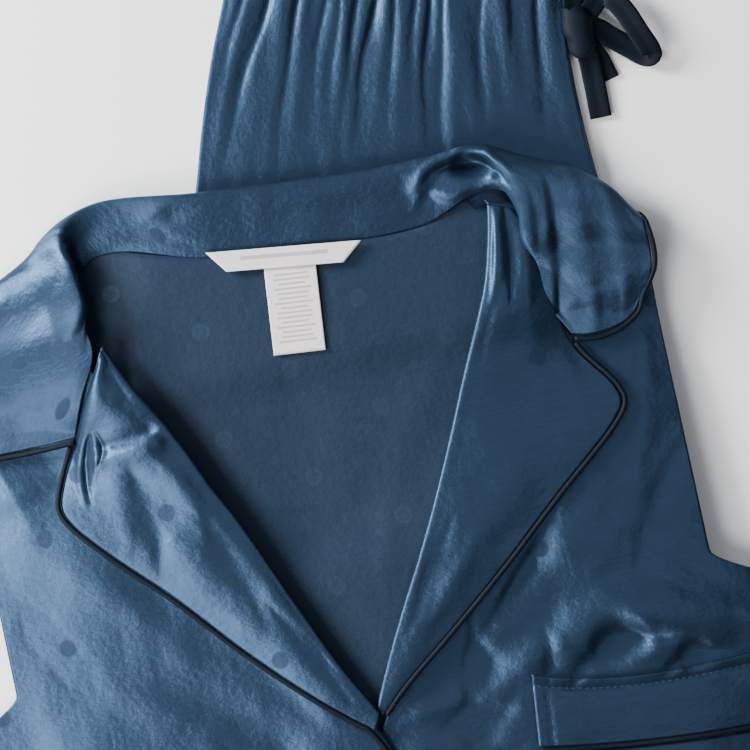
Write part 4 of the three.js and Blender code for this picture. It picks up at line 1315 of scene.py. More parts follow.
@dataclass
class Body:
    """The back and the two fronts.

    Attributes:
        finish: every finish of the set.
        tuck: how far a front's inner edge stays back under its lapel's roll.
    """

    finish: Wardrobe
    tuck: float = 2.5
    right_creases: tuple[Crease, ...] = (
        Crease((-130, -120), (-38, -224), 15, 1.0, 4, 0.3),
        Crease((-113, -118), (-30, -214), 8, -0.6, 3, -0.3),
        Crease((-158, -110), (-120, -190), 14, -0.8, -5, 0.2),
        Crease((-160, -92), (-132, -84), 6, 1.1, 2, 0.4), Crease((-96, -196), (-58, -262), 17, 1.2, 6, -0.3),
        Crease((-70, -222), (-20, -262), 7, -1.0, -3, 0.2),
        Crease((-150, -190), (-96, -280), 18, 1.1, -8, 0.3),
        Crease((-128, -196), (-82, -262), 11, -0.6, -5, 0.3),
        Crease((-215, -250), (-120, -330), 15, 1.6, 8, 0.2),
        Crease((-200, -300), (-150, -440), 14, -1.4, 6, -0.4),
        Crease((-96, -330), (-120, -520), 13, 1.5, -6, 0.4),
        Crease((-40, -360), (-52, -560), 10, -1.2, 4, 0.2),
        Crease((-226, -420), (-236, -620), 12, 1.5, 0, -0.3),
        Crease((-160, -480), (-176, -630), 12, 1.3, 4, 0.3),
    )
    left_creases: tuple[Crease, ...] = (
        Crease((84, -203), (170, -208), 18, 5.6, 7, 0.0),
        Crease((100, -215), (129, -209), 7.5, -10.0, 2, 0.6),
        Crease((138, -223), (156, -221), 5.5, -5.5, 1, 0.2),
        Crease((114, -195), (141, -204), 7.0, 0.6, 3, 0.2), Crease((84, -158), (124, -168), 15, 1.6, 3, 0.3),
        Crease((110, -180), (140, -184), 11, -1.2, 3, 0.3), Crease((126, -138), (150, -160), 12, 0.9, 2, 0.3),
        Crease((94, -147), (58, -186), 6.0, -2.2, 1, 0.9), Crease((48, -192), (41, -218), 8.0, -2.3, 1, 0.9),
        Crease((12, -223), (52, -221), 5.0, 1.4, 2, 0.2), Crease((30, -231), (54, -230), 6.0, -1.6, 1, 0.2),
        Crease((8, -236), (40, -244), 6.0, 1.4, 1, 0.2), Crease((81, -196), (79, -216), 3.0, -1.3, 1, 0.4),
        Crease((87, -196), (86, -214), 4.0, 0.5, -1, 0.2), Crease((34, -243), (62, -222), 6.0, -0.5, -2, 0.2),
        Crease((48, -246), (70, -224), 6.0, 0.6, 2, -0.3), Crease((120, -150), (66, -196), 13, -0.9, 4, 0.2),
        Crease((150, -110), (96, -186), 15, 0.9, -6, 0.3), Crease((158, -128), (128, -182), 7, -1.0, -3, 0.3),
        Crease((154, -78), (140, -128), 7, 0.9, 2, 0.3), Crease((160, -176), (196, -262), 12, 1.5, 5, 0.3),
        Crease((210, -280), (120, -360), 15, 1.5, -8, -0.2), Crease((60, -330), (74, -520), 12, 1.4, 6, 0.3),
        Crease((34, -380), (30, -560), 9, -1.1, -4, 0.2), Crease((150, -380), (176, -560), 13, -1.4, 5, 0.3),
        Crease((222, -430), (236, -620), 12, 1.5, 0, 0.3),
    )
    back_creases: tuple[Crease, ...] = (
        Crease((-42, -117), (30, -131), 2.2, -0.5, 1, 0.4),
        Crease((-36, -112), (26, -126), 3.4, 0.45, 1, 0.2), Crease((-70, -40), (-30, -110), 9, 0.5, 4, 0.3),
        Crease((62, -60), (16, -150), 10, 0.55, -5, 0.3), Crease((-10, -60), (-18, -150), 12, -0.4, 3, 0.0),
    )

    def build(self) -> None:
        """Makes the back, the fronts and the buttons."""
        self._back()
        self._front(Side.RIGHT, "front_right")
        self._front(Side.LEFT, "front_left")
        self._stitches()
        Buttons(self.finish, self).build()

    def _stitches(self) -> None:
        """Makes the row of stitches along each front's hem."""
        rows = []
        for side in Side:
            foot = HEM_STITCHED - FRONT_LENGTH
            inner, outer = front_edge(side, foot), side.value * body_half(foot)
            u = np.linspace(inner + side.value * 3, outer - side.value * 3, 300)
            v = foot + self._hem_rise(u)
            rows.append(turned(stacked(u, v, self.surface(side, u, v) + SHELL / 2 + 0.05)))
        sew("stitches_hem", rows, self.finish.thread)

    def _hem_rise(self, u: Array) -> Array:
        """Returns how far the fronts' foot runs up at u."""
        return 5 * np.abs(u) / HEM_HALF

    def surface(self, side: Side, u: Array, v: Array) -> Array:
        """Returns the height of a front's middle with its creases.

        Args:
            side: which front.
            u: places across.
            v: places along.

        Returns:
            Heights in millimetres.
        """
        creases = self.right_creases if side is Side.RIGHT else self.left_creases
        free = smooth(side.value * (u - front_edge(side, v)), 0, 18)
        still = ripple(u, v, 46, 0.32, seed=3 + side.value, stretch=1.5)
        still += ripple(u, v, 17, 0.07, seed=5 + side.value)
        height = front_height(side, u, v)
        spare = 0.9 + 0.8 * np.maximum(height - back_height(u, v) - CLOTH - LAYER_GAP, 0)
        hem = v + FRONT_LENGTH - self._hem_rise(u) - HEM_STITCHED
        drawn_in = 0.55 * bell(hem, 1.5) * (1 + 0.3 * np.sin(u / 2.3))
        turned_up = 0.35 * (1 - smooth(hem, 0, 1.5)) - drawn_in
        return height + turned_up + np.maximum(creased(creases, u, v) + still, -spare) * (0.15 + 0.85 * free)

    def back_surface(self, u: Array, v: Array) -> Array:
        """Returns the height of the back's middle with its creases."""
        still = ripple(u, v, 52, 0.16, seed=21, stretch=1.4)
        return back_height(u, v) + creased(self.back_creases, u, v) + still

    def _rows(self, stop: float, fine: float, coarse: float, turn_at: float) -> Array:
        """Returns shares from 0 to 1 down a panel, close down to turn_at, wide below and close at the hem."""
        near = np.arange(0, turn_at, fine)
        far = np.arange(turn_at, stop - 27, coarse)
        return np.concatenate([near, far, np.linspace(stop - 25, stop, 18)]) / stop

    def _back(self) -> None:
        """Makes the back, its wrong side up inside the neck."""
        a = self._rows(BACK_LENGTH, 3.0, 7.0, 250)
        b = np.linspace(0, 1, 150)
        aa, bb = crossed(a, b)
        across = 2 * bb - 1
        top_u = across * ARMHOLE_HALF
        inner = np.abs(top_u) < NECK_HALF
        top = np.where(inner, table_value(NECK_LINE, top_u), shoulder_line(top_u)) - 1.5 + 4.5 * inner
        v = top + (-BACK_LENGTH + 8 * across**2 - top) * aa
        u = across * (body_half(v) - 1)
        grid = stacked(u, v, self.back_surface(u, v))
        piece = cloth_piece("back_panel", grid, stacked(u, v) + BACK_DOTS)
        dress(piece, self.finish.wrong_side, "satin_wrong_side", "back")

    def _front(self, side: Side, node: str) -> None:
        """Makes a front.

        Args:
            side: which front.
            node: the CAD node that it replaces.
        """
        a = self._rows(FRONT_LENGTH, 2.1, 5.0, 275)
        b = np.linspace(0, 1, 118)
        aa, bb = crossed(a, b)
        top_u = side.value * (NECK_HALF + (ARMHOLE_HALF - NECK_HALF) * bb)
        top = shoulder_line(top_u)
        v = top + (-FRONT_LENGTH + 5 * bb - top) * aa
        tuck = side.value * self.tuck * smooth(v, -235, -215)
        inner = front_edge(side, v) + tuck
        u = inner + (side.value * body_half(v) - inner) * bb
        grid = stacked(u, v, self.surface(side, u, v))
        piece = cloth_piece(f"{node}_panel", grid, stacked(u, v) + FRONT_DOTS)
        dress(piece, self.finish.satin, "satin", node)


@dataclass
class Buttons:
    """Four dyed resin buttons down the closing.

    Attributes:
        finish: every finish of the set.
        body: the panels that they lie on.
        radius: of a button.
        thick: of a button.
        first: v of the first one.
        step: from one to the next.
        from_edge: how far they are from the closing's edge.
        count: how many.
        rim: width of the raised rim.
        well: how far the middle lies below the rim.
        hole: radius of a hole.
        hole_ring: how far a hole is from the middle.
    """

    finish: Wardrobe
    body: Body
    radius: float = 5.8
    thick: float = 2.4
    first: float = -246.0
    step: float = 92.0
    from_edge: float = 13.0
    count: int = 4
    rim: float = 1.3
    well: float = 0.65
    hole: float = 0.65
    hole_ring: float = 1.35

    def build(self) -> None:
        """Makes the buttons, each a copy of the first one with its own mesh, and their threads."""
        pattern = self._pattern()
        threads = []
        for k in range(self.count):
            v = self.first - k * self.step
            u = float(front_edge(Side.RIGHT, v)) - self.from_edge
            z = float(front_height(Side.RIGHT, u, v)) + CLOTH / 2 + 0.8
            centre = np.array([*on_surface(u, v), z])
            mesh = pattern.data.copy()
            mesh.transform(Matrix.Translation(Vector(centre) * MM))
            piece = bpy.data.objects.new(f"resin_button_{k + 1}", mesh)
            bpy.context.scene.collection.objects.link(piece)
            dress(piece, self.finish.button, "button", f"button_{k + 1}")
            reach, top = self.hole_ring - 0.2, self.thick - 0.4
            threads += [centre + ((-reach, y, top), (reach, y, top)) for y in (-0.95, 0.95)]
        sew("threads_buttons", threads, self.finish.thread, thread=0.3, pitch=0)
        bpy.data.objects.remove(pattern, do_unlink=True)

    def _pattern(self) -> Piece:
        """Turns one button: a rim, a dished face and four holes.

        Returns:
            The button at the origin, its foot on z = 0.
        """
        bpy.ops.object.select_all(action="DESELECT")
        bpy.ops.mesh.primitive_cylinder_add(
            vertices=48, radius=self.radius * MM, depth=self.thick * MM, location=(0, 0, self.thick / 2 * MM)
        )
        button = bpy.context.active_object
        bpy.ops.object.transform_apply(location=True)
        bpy.ops.object.mode_set(mode="EDIT")
        bpy.ops.mesh.select_mode(type="FACE")
        bpy.ops.mesh.select_all(action="DESELECT")
        shape = bmesh.from_edit_mesh(button.data)
        for face in shape.faces:
            face.select = face.normal.z > 0.9
        bmesh.update_edit_mesh(button.data)
        for step, depth in ((self.rim, 0.15), (0.7, self.well - 0.15)):
            bpy.ops.mesh.inset(thickness=step * MM)
            bpy.ops.transform.translate(value=(0, 0, -depth * MM))
        bpy.ops.object.mode_set(mode="OBJECT")
        round_edge = button.modifiers.new("rounding", "BEVEL")
        round_edge.width = 0.35 * MM
        round_edge.segments = 3
        round_edge.limit_method = "ANGLE"
        drills = []
        for i in range(4):
            angle = math.pi / 4 + i * math.pi / 2
            place = (self.hole_ring * MM * math.cos(angle), self.hole_ring * MM * math.sin(angle), 0)
            bpy.ops.mesh.primitive_cylinder_add(
                vertices=16, radius=self.hole * MM, depth=3 * self.thick * MM, location=place
            )
            drills.append(bpy.context.active_object)
        bpy.ops.object.select_all(action="DESELECT")
        for drill in drills:
            drill.select_set(True)
        bpy.context.view_layer.objects.active = drills[0]
        bpy.ops.object.join()
        cut = button.modifiers.new("holes", "BOOLEAN")
        cut.object = drills[0]
        run_modifiers(button)
        bpy.data.objects.remove(drills[0], do_unlink=True)
        for polygon in button.data.polygons:
            polygon.use_smooth = True
        button.data.set_sharp_from_angle(angle=math.radians(35))
        return button


@dataclass(frozen=True)
class LapelRow:
    """One station of a lapel.

    Attributes:
        roll: u, v of the roll line.
        edge: u, v of the outer edge.
        loft: how far the lapel stands off the front between them.
    """

    roll: tuple[float, float]
    edge: tuple[float, float]
    loft: float


RIGHT_LAPEL = (
    LapelRow((-90.5, -28), (-93, -33), 2.4), LapelRow((-82, -47), (-111.5, -66), 2.8),
    LapelRow((-74, -61), (-121.5, -86), 2.6), LapelRow((-67, -75), (-124, -95), 2.5),
    LapelRow((-61, -88), (-121.5, -102), 2.4), LapelRow((-55.5, -101), (-104, -122.5), 2.2),
    LapelRow((-48, -115.5), (-81.5, -145.5), 2.0), LapelRow((-31, -155), (-54, -177), 1.4),
    LapelRow((-14, -194), (-27, -204), 0.9), LapelRow((-1, -218), (-4, -224), 0.5),
)
LEFT_LAPEL = (
    LapelRow((97, 0), (106, -3), 1.2), LapelRow((94, -15), (113, -17), 1.8),
    LapelRow((88, -36), (115, -41), 2.4), LapelRow((77, -60), (121, -70), 2.2),
    LapelRow((69, -77), (136, -93), 2.0), LapelRow((64, -88), (137.5, -100), 2.0),
    LapelRow((58, -101), (133, -107), 2.0), LapelRow((45, -128), (100, -135), 1.8),
    LapelRow((33, -151), (70.5, -160.5), 1.5), LapelRow((19, -176), (39, -186), 1.1),
    LapelRow((6, -201), (12, -207), 0.7), LapelRow((-1, -216), (0.5, -218), 0.5),
)

RIGHT_LAPEL_CREASES = (
    Crease((-92.5, -36), (-109, -65), 4.2, 2.6, 0, 0.85), Crease((-84, -46), (-78, -62), 7, -1.0, 0, 0.3),
    Crease((-100, -71), (-68, -66), 3.2, -2.0, -2, 0.5), Crease((-103, -77), (-65, -71), 4.6, 2.3, -2, -0.5),
    Crease((-84, -52), (-78, -62), 5, 0.7, 1, 0.3), Crease((-104.8, -66), (-110.5, -94), 1.7, -1.5, -2, 0.3),
    Crease((-107.8, -67), (-113.5, -94), 2.2, 0.9, -2, 0.3),
    Crease((-100.5, -66), (-103, -79), 1.6, -1.3, 2, 0.3),
    Crease((-102.6, -67), (-106, -84), 1.8, 0.9, 1, 0.3), Crease((-87, -88), (-83, -122), 9.0, -1.9, 2, 0.1),
    Crease((-99, -84), (-97, -116), 7.0, 0.7, 2, 0.2), Crease((-74, -84), (-62, -116), 6, 1.2, 2, -0.3),
    Crease((-62, -114), (-44, -158), 8, -1.1, 3, 0.3), Crease((-78, -116), (-56, -160), 9, 0.7, -2, 0.2),
    Crease((-52, -120), (-26, -178), 7, 0.7, 1, 0.2), Crease((-38, -160), (-14, -206), 4, -0.7, 1, 0.2),
)
LEFT_LAPEL_CREASES = (
    Crease((98, -8), (90, -38), 4.4, 1.5, 1, 0.4), Crease((103, -4), (98, -42), 4.0, -1.6, 1, 0.2),
    Crease((109, -12), (106, -44), 4.2, 0.6, 1, 0.2), Crease((86, -50), (28, -170), 5, -0.6, -4, 0.3),
    Crease((104, -52), (112, -116), 9, 0.7, -3, 0.2), Crease((122, -78), (124, -108), 6, -0.6, 2, 0.3),
    Crease((98, -96), (50, -160), 9, 0.8, 3, 0.2), Crease((56, -150), (34, -178), 6, 0.8, 1, 0.3),
    Crease((48, -140), (22, -180), 5, -0.8, 1, 0.3),
)


@dataclass
class Lapel:
    """A lapel, rolled back from its front, and the piping along its edge.

    Attributes:
        finish: every finish of the set.
        body: the panels that it lies on.
        side: which front it belongs to.
        rows: its stations, from the neck to the end of the roll.
        creases: its ridges and troughs.
        dot: u, v of one of its dots.
        piping_from: where its piping starts, as a share of its length.
        closing: whether the piping runs on down the closing.
    """

    finish: Wardrobe
    body: Body
    side: Side
    rows: tuple[LapelRow, ...]
    creases: tuple[Crease, ...]
    dot: tuple[float, float]
    piping_from: float
    closing: bool = False

    def build(self) -> None:
        """Makes the lapel and its piping."""
        self._leaf()
        self._piping()

    def _plan(self, t: Array, b: Array) -> tuple[Array, Array, Array, Array]:
        """Returns u, v, the height over the front, and the way in, at t down the lapel and b across."""
        roll = spline(np.array([r.roll + (0.0,) for r in self.rows]), t)
        edge = spline(np.array([r.edge + (0.0,) for r in self.rows]), t)
        loft = np.interp(t * (len(self.rows) - 1), np.arange(len(self.rows)), [r.loft for r in self.rows])
        place = roll[:, None] + (edge - roll)[:, None] * b[None, :, None]
        belly = 0.5 + loft[:, None] * np.maximum(np.sin(np.pi * (0.14 + 0.86 * b)), 0)[None, :] ** 0.8
        return place[..., 0], place[..., 1], CLOTH + LAYER_GAP + belly, unit((roll - edge)[:, :2])

    def _leaf(self) -> None:
        """Makes the lapel, from under its roll to its piped edge."""
        t = np.linspace(0, 1, 190)
        b = np.linspace(0, 1, 60)
        u, v, over, inwards = self._plan(t, b)
        front = self.body.surface(self.side, u, v)
        uneven = ripple(u, v, 30, 0.22, seed=31 + self.side.value) * np.sin(np.pi * b)[None, :]
        lift = creased(self.creases, u, v) + uneven
        height = front + over + np.maximum(lift, -over + CLOTH + 0.7) * smooth(b, 0.0, 0.12)[None, :]
        base = front[:, :1] + 0.75
        top = height[:, :1]
        turn = np.linspace(-math.pi / 2, math.pi / 2, 10)[:-1]
        reach = np.minimum((top - base) / 2, 2.2)
        middle = (top + base) / 2
        arc_u = u[:, :1] + inwards[:, :1] * reach * np.cos(turn)[None, :]
        arc_v = v[:, :1] + inwards[:, 1:] * reach * np.cos(turn)[None, :]
        arc_z = middle + (top - base) / 2 * np.sin(turn)[None, :]
        grid = stacked(np.hstack([arc_u, u]), np.hstack([arc_v, v]), np.hstack([arc_z, height]))
        uv = grid[..., :2] - np.array(self.dot)
        piece = cloth_piece(f"lapel_{self.side.word}_leaf", grid, uv, TURNED_SHELL)
        dress(piece, self.finish.satin, "satin", f"lapel_{self.side.word}")

    def _piping(self) -> None:
        """Makes the piping, just outside the edge and on down the closing."""
        t = np.linspace(self.piping_from, 1, 130)
        u, v, over, _ = self._plan(t, np.array([1.0]))
        z = self.body.surface(self.side, u, v) + over + 0.55
        line = stacked(u[:, 0], v[:, 0], z[:, 0])
        along = unit(np.gradient(line, axis=0) * (1, 1, 0))
        out = stacked(along[:, 1], -along[:, 0], np.zeros(len(t))) * -self.side.value
        line = line + out * (PIPING_RADIUS + SEAM_GAP)
        if self.closing:
            down = np.arange(-240.0, -FRONT_LENGTH, -6.0)
            edge = front_edge(Side.RIGHT, down) + PIPING_RADIUS + SEAM_GAP + 0.1
            height = self.body.surface(Side.RIGHT, edge, down) + 0.6
            line = np.vstack([line, stacked(edge, down, height)])
        pipe(f"piping_{self.side.word}", resampled(turned(line[::4]), 1.6), self.finish.trim)


@dataclass(frozen=True)
class CollarRow:
    """One section of the collar: six places (u, v, height over what the top lies on)."""

    seam: tuple[float, float, float]
    stand: tuple[float, float, float]
    fold: tuple[float, float, float]
    spread: tuple[float, float, float]
    turn: tuple[float, float, float]
    edge: tuple[float, float, float]


COLLAR = tuple(
    CollarRow(*row)
    for row in (
        (
            (-111.5, -64.6, 9.6), (-121, -65, 9.6), (-132, -65, 9.3),
            (-142, -65, 9.1), (-151, -64.5, 8.9), (-157, -62, 8.7),
        ),
        (
            (-104, -48, 11.8), (-116, -50, 11.4), (-130, -52, 10.4),
            (-143, -53, 9.6), (-155, -54, 9.0), (-163, -54, 8.8),
        ),
        (
            (-94.5, -28.5, 15.5), (-102, -31, 16.4), (-118, -35, 14.0),
            (-134, -38, 11.5), (-150, -40, 9.8), (-165, -42, 8.9),
        ),
        (
            (-97, -12, 9.5), (-94.6, -12, 15), (-95.5, -9, 22.5),
            (-115, -7, 16.5), (-142, -12, 12), (-165, -24, 8.8),
        ),
        ((-97, 5, 6.5), (-95.0, 8, 12), (-96.5, 10, 22.5), (-116, 13, 14), (-146, 4, 8.5), (-160, -16, 2.2)),
        ((-88, 14, 4.8), (-93, 20, 9), (-98, 28, 18), (-113, 24, 8), (-124, 10, 1.4), (-122, -28, 1.5)),
        ((-74, 15, 4.4), (-78, 26, 8.0), (-82, 38, 10.5), (-84, 37, 6.0), (-82, 12, 1.3), (-80, -33, 1.5)),
        ((-36, 4, 4.0), (-35, 17, 6.8), (-34, 33, 10.0), (-34, 32.5, 5.6), (-35, 2, 1.2), (-38, -37, 1.5)),
        ((0, 1.8, 4.0), (3, 14, 6.6), (8, 29.5, 9.6), (8, 29, 5.2), (6, 0, 1.2), (2, -39, 1.5)),
        ((38, -2.5, 4.0), (42, 10, 6.6), (46, 27, 10.0), (46, 26.5, 5.4), (44, -2, 1.2), (42, -39, 1.5)),
        ((68, -1.5, 4.6), (71, 11, 7.8), (74, 27, 12), (78, 26, 6.0), (76, 0, 1.2), (76, -37, 1.5)),
        ((91, 7, 8.2), (92, 15, 12), (97, 27, 15), (110, 21, 6.4), (109, 8, 1.4), (108, -32, 1.5)),
        ((104, 6, 9.5), (103, 9, 14), (107, 13, 18), (124, 14, 14), (143, 5, 6.5), (142, -22, 1.6)),
        ((112, -8, 11), (109, -7, 15), (110, -5, 18.5), (128, 0, 16.5), (150, -2, 11.5), (162, -16, 4.8)),
        (
            (113, -22, 11.5), (109, -21, 14.5), (109.5, -20, 17),
            (126, -17, 15.5), (147, -20, 12), (165, -28, 9),
        ),
        (
            (108.5, -40, 11.4), (117, -40, 12.2), (127, -41, 12.5),
            (139, -42, 11.5), (152, -43, 9.8), (164, -42, 8.9),
        ),
        (
            (115, -53, 10.2), (122, -54, 10.4), (132, -55, 10.2),
            (142, -55, 9.6), (152, -54, 9.0), (160, -50, 8.8),
        ),
        (
            (122, -65.5, 9.2), (129, -67, 9.3), (136, -67, 9.2),
            (142, -66, 9.0), (147.5, -64, 8.9), (152.5, -60, 8.7),
        ),
    )
)


@dataclass
class Collar:
    """The collar, folded over all round the neck, and its piping.

    Attributes:
        finish: every finish of the set.
        body: the panels that its ends lie on.
        creases: its ridges and troughs, on the leaves.
    """

    finish: Wardrobe
    body: Body
    creases: tuple[Crease, ...] = (
        Crease((-112, -18), (-122, -60), 8, -0.6, 1, 0.2), Crease((-128, -4), (-142, -58), 11, 0.6, 4, -0.3),
        Crease((-140, -2), (-156, -44), 8, -0.5, 2, 0.3), Crease((-106, 4), (-138, -18), 8, -0.6, 3, 0.4),
        Crease((-132, 4), (-150, -10), 5, 0.7, 1, 0.2), Crease((65, 10), (70, 23), 4.0, 1.6, 0, 0.2),
        Crease((70, 21), (104, 19), 4.6, 2.6, 8, 0.3), Crease((82, 21), (101, 14), 5.0, -9.0, 2, 0.2),
        Crease((72, 13), (92, 8), 3.6, 2.0, -2, 0.2), Crease((124, 2), (117.5, -54), 4.4, -2.3, 2, 0.95),
        Crease((116, 0), (114.5, -22), 3.0, -1.1, 1, 0.3), Crease((136, 6), (134, -56), 10.0, 1.2, 3, 0.3),
        Crease((140, 0), (138, -56), 6, -0.7, 2, 0.3), Crease((150, -8), (149, -54), 5, 0.9, 2, 0.3),
        Crease((120, -36), (134, -30), 4, 0.7, 1, 0.2), Crease((-60, 26), (-44, 33), 3.2, 0.8, 1, 0.4),
        Crease((-52, 22), (-38, 27), 3.0, -0.4, 1, 0.2), Crease((-70, 22), (-44, 12), 4, -0.6, 1, 0.2),
        Crease((6, 20), (60, 17), 5, 0.5, 2, 0.2),
    )

    def build(self) -> None:
        """Makes the collar and its piping."""
        runs = self._runs(np.linspace(0, 1, 260))
        grid = self._grid(runs, np.linspace(0, 1, 72), np.linspace(0, 1, 260))
        self._leaf(grid)
        self._piping(grid)

    def _runs(self, t: Array) -> Array:
        """Returns the six long curves at t round the neck: columns by places by three."""
        names = CollarRow.__dataclass_fields__
        return np.stack([spline(np.array([getattr(row, name) for row in COLLAR]), t) for name in names])

    def _grid(self, runs: Array, b: Array, t: Array) -> Array:
        """Returns the collar's middle surface, with the leaves laid on the fronts."""
        grid = np.stack([spline(runs[:, k], b) for k in range(len(t))])
        u, v = grid[..., 0], grid[..., 1]
        z = np.maximum(grid[..., 2], 1.05) + trouser_lift(u, v)
        rows = (len(COLLAR) - 1) * np.minimum(t, 1 - t)[:, None]
        reach = 4.2 + (3.4 - 4.2) * smooth(b, 0.15, 0.5)[None, :]
        on_front = smooth(-rows, -reach - 0.5, -reach)
        left = np.broadcast_to((t < 0.5)[:, None], u.shape)
        front = np.where(left, front_height(Side.RIGHT, u, v), front_height(Side.LEFT, u, v))
        clear = front + (CLOTH + COLLAR_CLOTH) / 2 + SEAM_GAP + 0.8 + 2.2 * np.sin(np.pi * b)[None, :]
        z = z + (np.maximum(z, clear) - z) * on_front
        return stacked(u, v, z)

    def _leaf(self, grid: Array) -> None:
        """Makes the collar itself, creased where it shows."""
        rows, columns = grid.shape[:2]
        normal = normals_of(grid)
        normal *= np.sign(normal[rows // 12, columns // 2, 2])
        t, b = np.linspace(0, 1, rows)[:, None], np.linspace(0, 1, columns)[None, :]
        at_back = (t > 0.3) & (t < 0.66)
        shows = np.where(at_back, 1 - smooth(b, 0.3, 0.42), 1.0)
        calm = smooth(b, 0, 0.1) * (1 - smooth(b, 0.88, 1.0))
        u, v = grid[..., 0], grid[..., 1]
        lift = creased(self.creases, u, v) + ripple(u, v, 30, 0.25, seed=41)
        grid = grid + normal * (lift * shows * calm)[..., None]
        along = np.cumsum(np.linalg.norm(np.gradient(grid[:, columns // 2], axis=0), axis=-1))
        across = np.cumsum(np.linalg.norm(np.gradient(grid, axis=1), axis=-1), axis=1)
        uv = stacked(np.broadcast_to(along[:, None], across.shape), across) + COLLAR_DOTS
        piece = cloth_piece("collar_leaf", grid, uv, COLLAR_SHELL)
        dress(piece, self.finish.satin, "satin", "collar")

    def _piping(self, grid: Array) -> None:
        """Makes the piping down one short end, along the outer edge and up the other end."""
        clear = PIPING_RADIUS + COLLAR_CLOTH / 2 + SEAM_GAP - 0.3

        def short_end(row: Array, sign: float) -> Array:
            """Returns the piping's points below a short end, out to its corner."""
            picks = row[[1, 20, 40, 60]] + np.array([0, -clear, 0.2])
            corner = row[-1] + np.array([sign * 1.7, 0.9 - clear, 0.0])
            return np.vstack([picks, corner[None]])

        edge = grid[6:-6:6, -1]
        out = unit(edge - grid[6:-6:6, -8])
        outer = edge + out * (PIPING_RADIUS + SEAM_GAP + 0.1)
        outer[:, 2] = np.maximum(outer[:, 2], trouser_lift(outer[:, 0], outer[:, 1]) + PIPING_RADIUS + 0.1)
        line = np.vstack([short_end(grid[0], -1), outer, short_end(grid[-1], 1)[::-1]])
        pipe("collar_piping", resampled(turned(line), 1.6), self.finish.trim)


@dataclass
class Pocket:
    """The chest pocket: its bag, its turned-back band and the piping between them.

    Attributes:
        finish: every finish of the set.
        body: the panels that it lies on.
        corner: u, v of its upper inner corner.
        width: across.
        height: down.
        band: height of the band.
        turn: how far it is turned against the top, in degrees.
        sag: how far its mouth hangs in the middle.
        bend: radius of its lower corners.
        top_seam: how far the stitches under its top edge are from it.
        end_seam: how far the stitches at its inner end are from it.
    """

    finish: Wardrobe
    body: Body
    corner: tuple[float, float] = (71.0, -214.0)
    width: float = 108.0
    height: float = 118.0
    band: float = 33.0
    turn: float = -6.0
    sag: float = 5.5
    bend: float = 14.0
    top_seam: float = 5.0
    end_seam: float = 6.5

    def build(self) -> None:
        """Makes the bag, the band and the piping."""
        self._bag()
        self._band()
        self._piping()
        self._stitches()

    def _stitches(self) -> None:
        """Makes the stitches round the bag, under the band's top edge and down its inner end."""
        inset, bend = 2.2, self.bend - 2.0
        turn = np.linspace(0, math.pi / 2, 12)
        low = self.height - inset - bend
        left = stacked(inset + bend - bend * np.cos(turn), low + bend * np.sin(turn))
        right = stacked(self.width - left[::-1, 0], left[::-1, 1])
        sides = np.linspace([inset, self.band + 5.0], [inset, low], 40)
        foot = np.linspace(left[-1], right[0], 50)
        other = sides[::-1] * (-1, 1) + (self.width, 0)
        bag = np.concatenate([sides, left[1:], foot[1:-1], right, other[1:]])
        top = np.linspace([2.0, self.top_seam], [self.width - 2.0, self.top_seam], 120)
        end = np.linspace([self.end_seam, 8.0], [self.end_seam, self.band - 2.0], 20)
        rows = [
            turned(self._place(path[:, 0], path[:, 1], np.full(len(path), over)))
            for path, over in ((bag, 0.6), (top, 0.7), (end, 1.15))
        ]
        sew("stitches_pocket", rows, self.finish.thread)

    def _place(self, across: Array, down: Array, over: Array) -> Array:
        """Returns points on the pocket.

        Args:
            across: from 0 to the width.
            down: from 0 to the height.
            over: height above the front that it is sewn to.

        Returns:
            Points in the top's frame.
        """
        slack = np.maximum(1 - down / (1.6 * self.band), 0)
        hang = self.sag * np.sin(np.pi * (across / self.width) ** 0.8) * slack
        c, s = heading(self.turn)
        u = self.corner[0] + across * c + (down + hang) * s
        v = self.corner[1] + across * s - (down + hang) * c
        return stacked(u, v, self.body.surface(Side.LEFT, u, v) + CLOTH + 2 * SEAM_GAP + over)

    def _bag(self) -> None:
        """Makes the bag, with rounded lower corners."""
        start = self.band + 2 * PIPING_RADIUS + 2 * SEAM_GAP + 0.6
        down, b = crossed(np.linspace(start, self.height, 60), np.linspace(0, 1, 66))
        from_foot = np.maximum(0, down - (self.height - self.bend))
        inset = self.bend - np.sqrt(self.bend**2 - from_foot**2 * 0.8)
        across = inset + (self.width - 2 * inset) * b
        rim = np.minimum.reduce([b, 1 - b, (self.height - down) / self.height]) * self.width
        over = 0.1 + 0.5 * smooth(rim, 0, 6)
        grid = self._place(across, down, over)
        piece = cloth_piece("pocket_bag", grid, stacked(across, down) + BAG_DOTS, BAG_SHELL)
        dress(piece, self.finish.satin, "satin", "pocket")

    def _band(self) -> None:
        """Makes the band: two plies, with a pressed top edge and a row of stitches under it."""
        down, b = crossed(np.linspace(0, self.band, 46), np.linspace(0, 1, 90))
        across = b * self.width
        from_seam = down - self.top_seam
        rolled = 0.7 * bell(down, 2.4) - 0.9 * bell(from_seam, 1.5)
        rolled -= 0.45 * bell(across - self.end_seam, 1.3) * smooth(down, 3, 8)
        over = 1.1 + rolled + 0.45 * smooth(down, 7, 16) * (1 - smooth(down, self.band - 8, self.band))
        over = over + 0.12 * np.sin(across / 6.1) * bell(from_seam, 3.0)
        grid = self._place(across, down, over)
        piece = cloth_piece("pocket_band_fold", grid, stacked(across, down) + BAND_DOTS, TURNED_SHELL)
        dress(piece, self.finish.satin, "satin", "pocket_band")

    def _piping(self) -> None:
        """Makes the piping under the band."""
        across = np.linspace(0.4, self.width - 0.4, 40)
        down = np.full_like(across, self.band + PIPING_RADIUS + SEAM_GAP + 0.2)
        line = self._place(across, down, np.full_like(across, 1.15))
        pipe("pocket_piping", resampled(turned(line), 1.6), self.finish.trim)


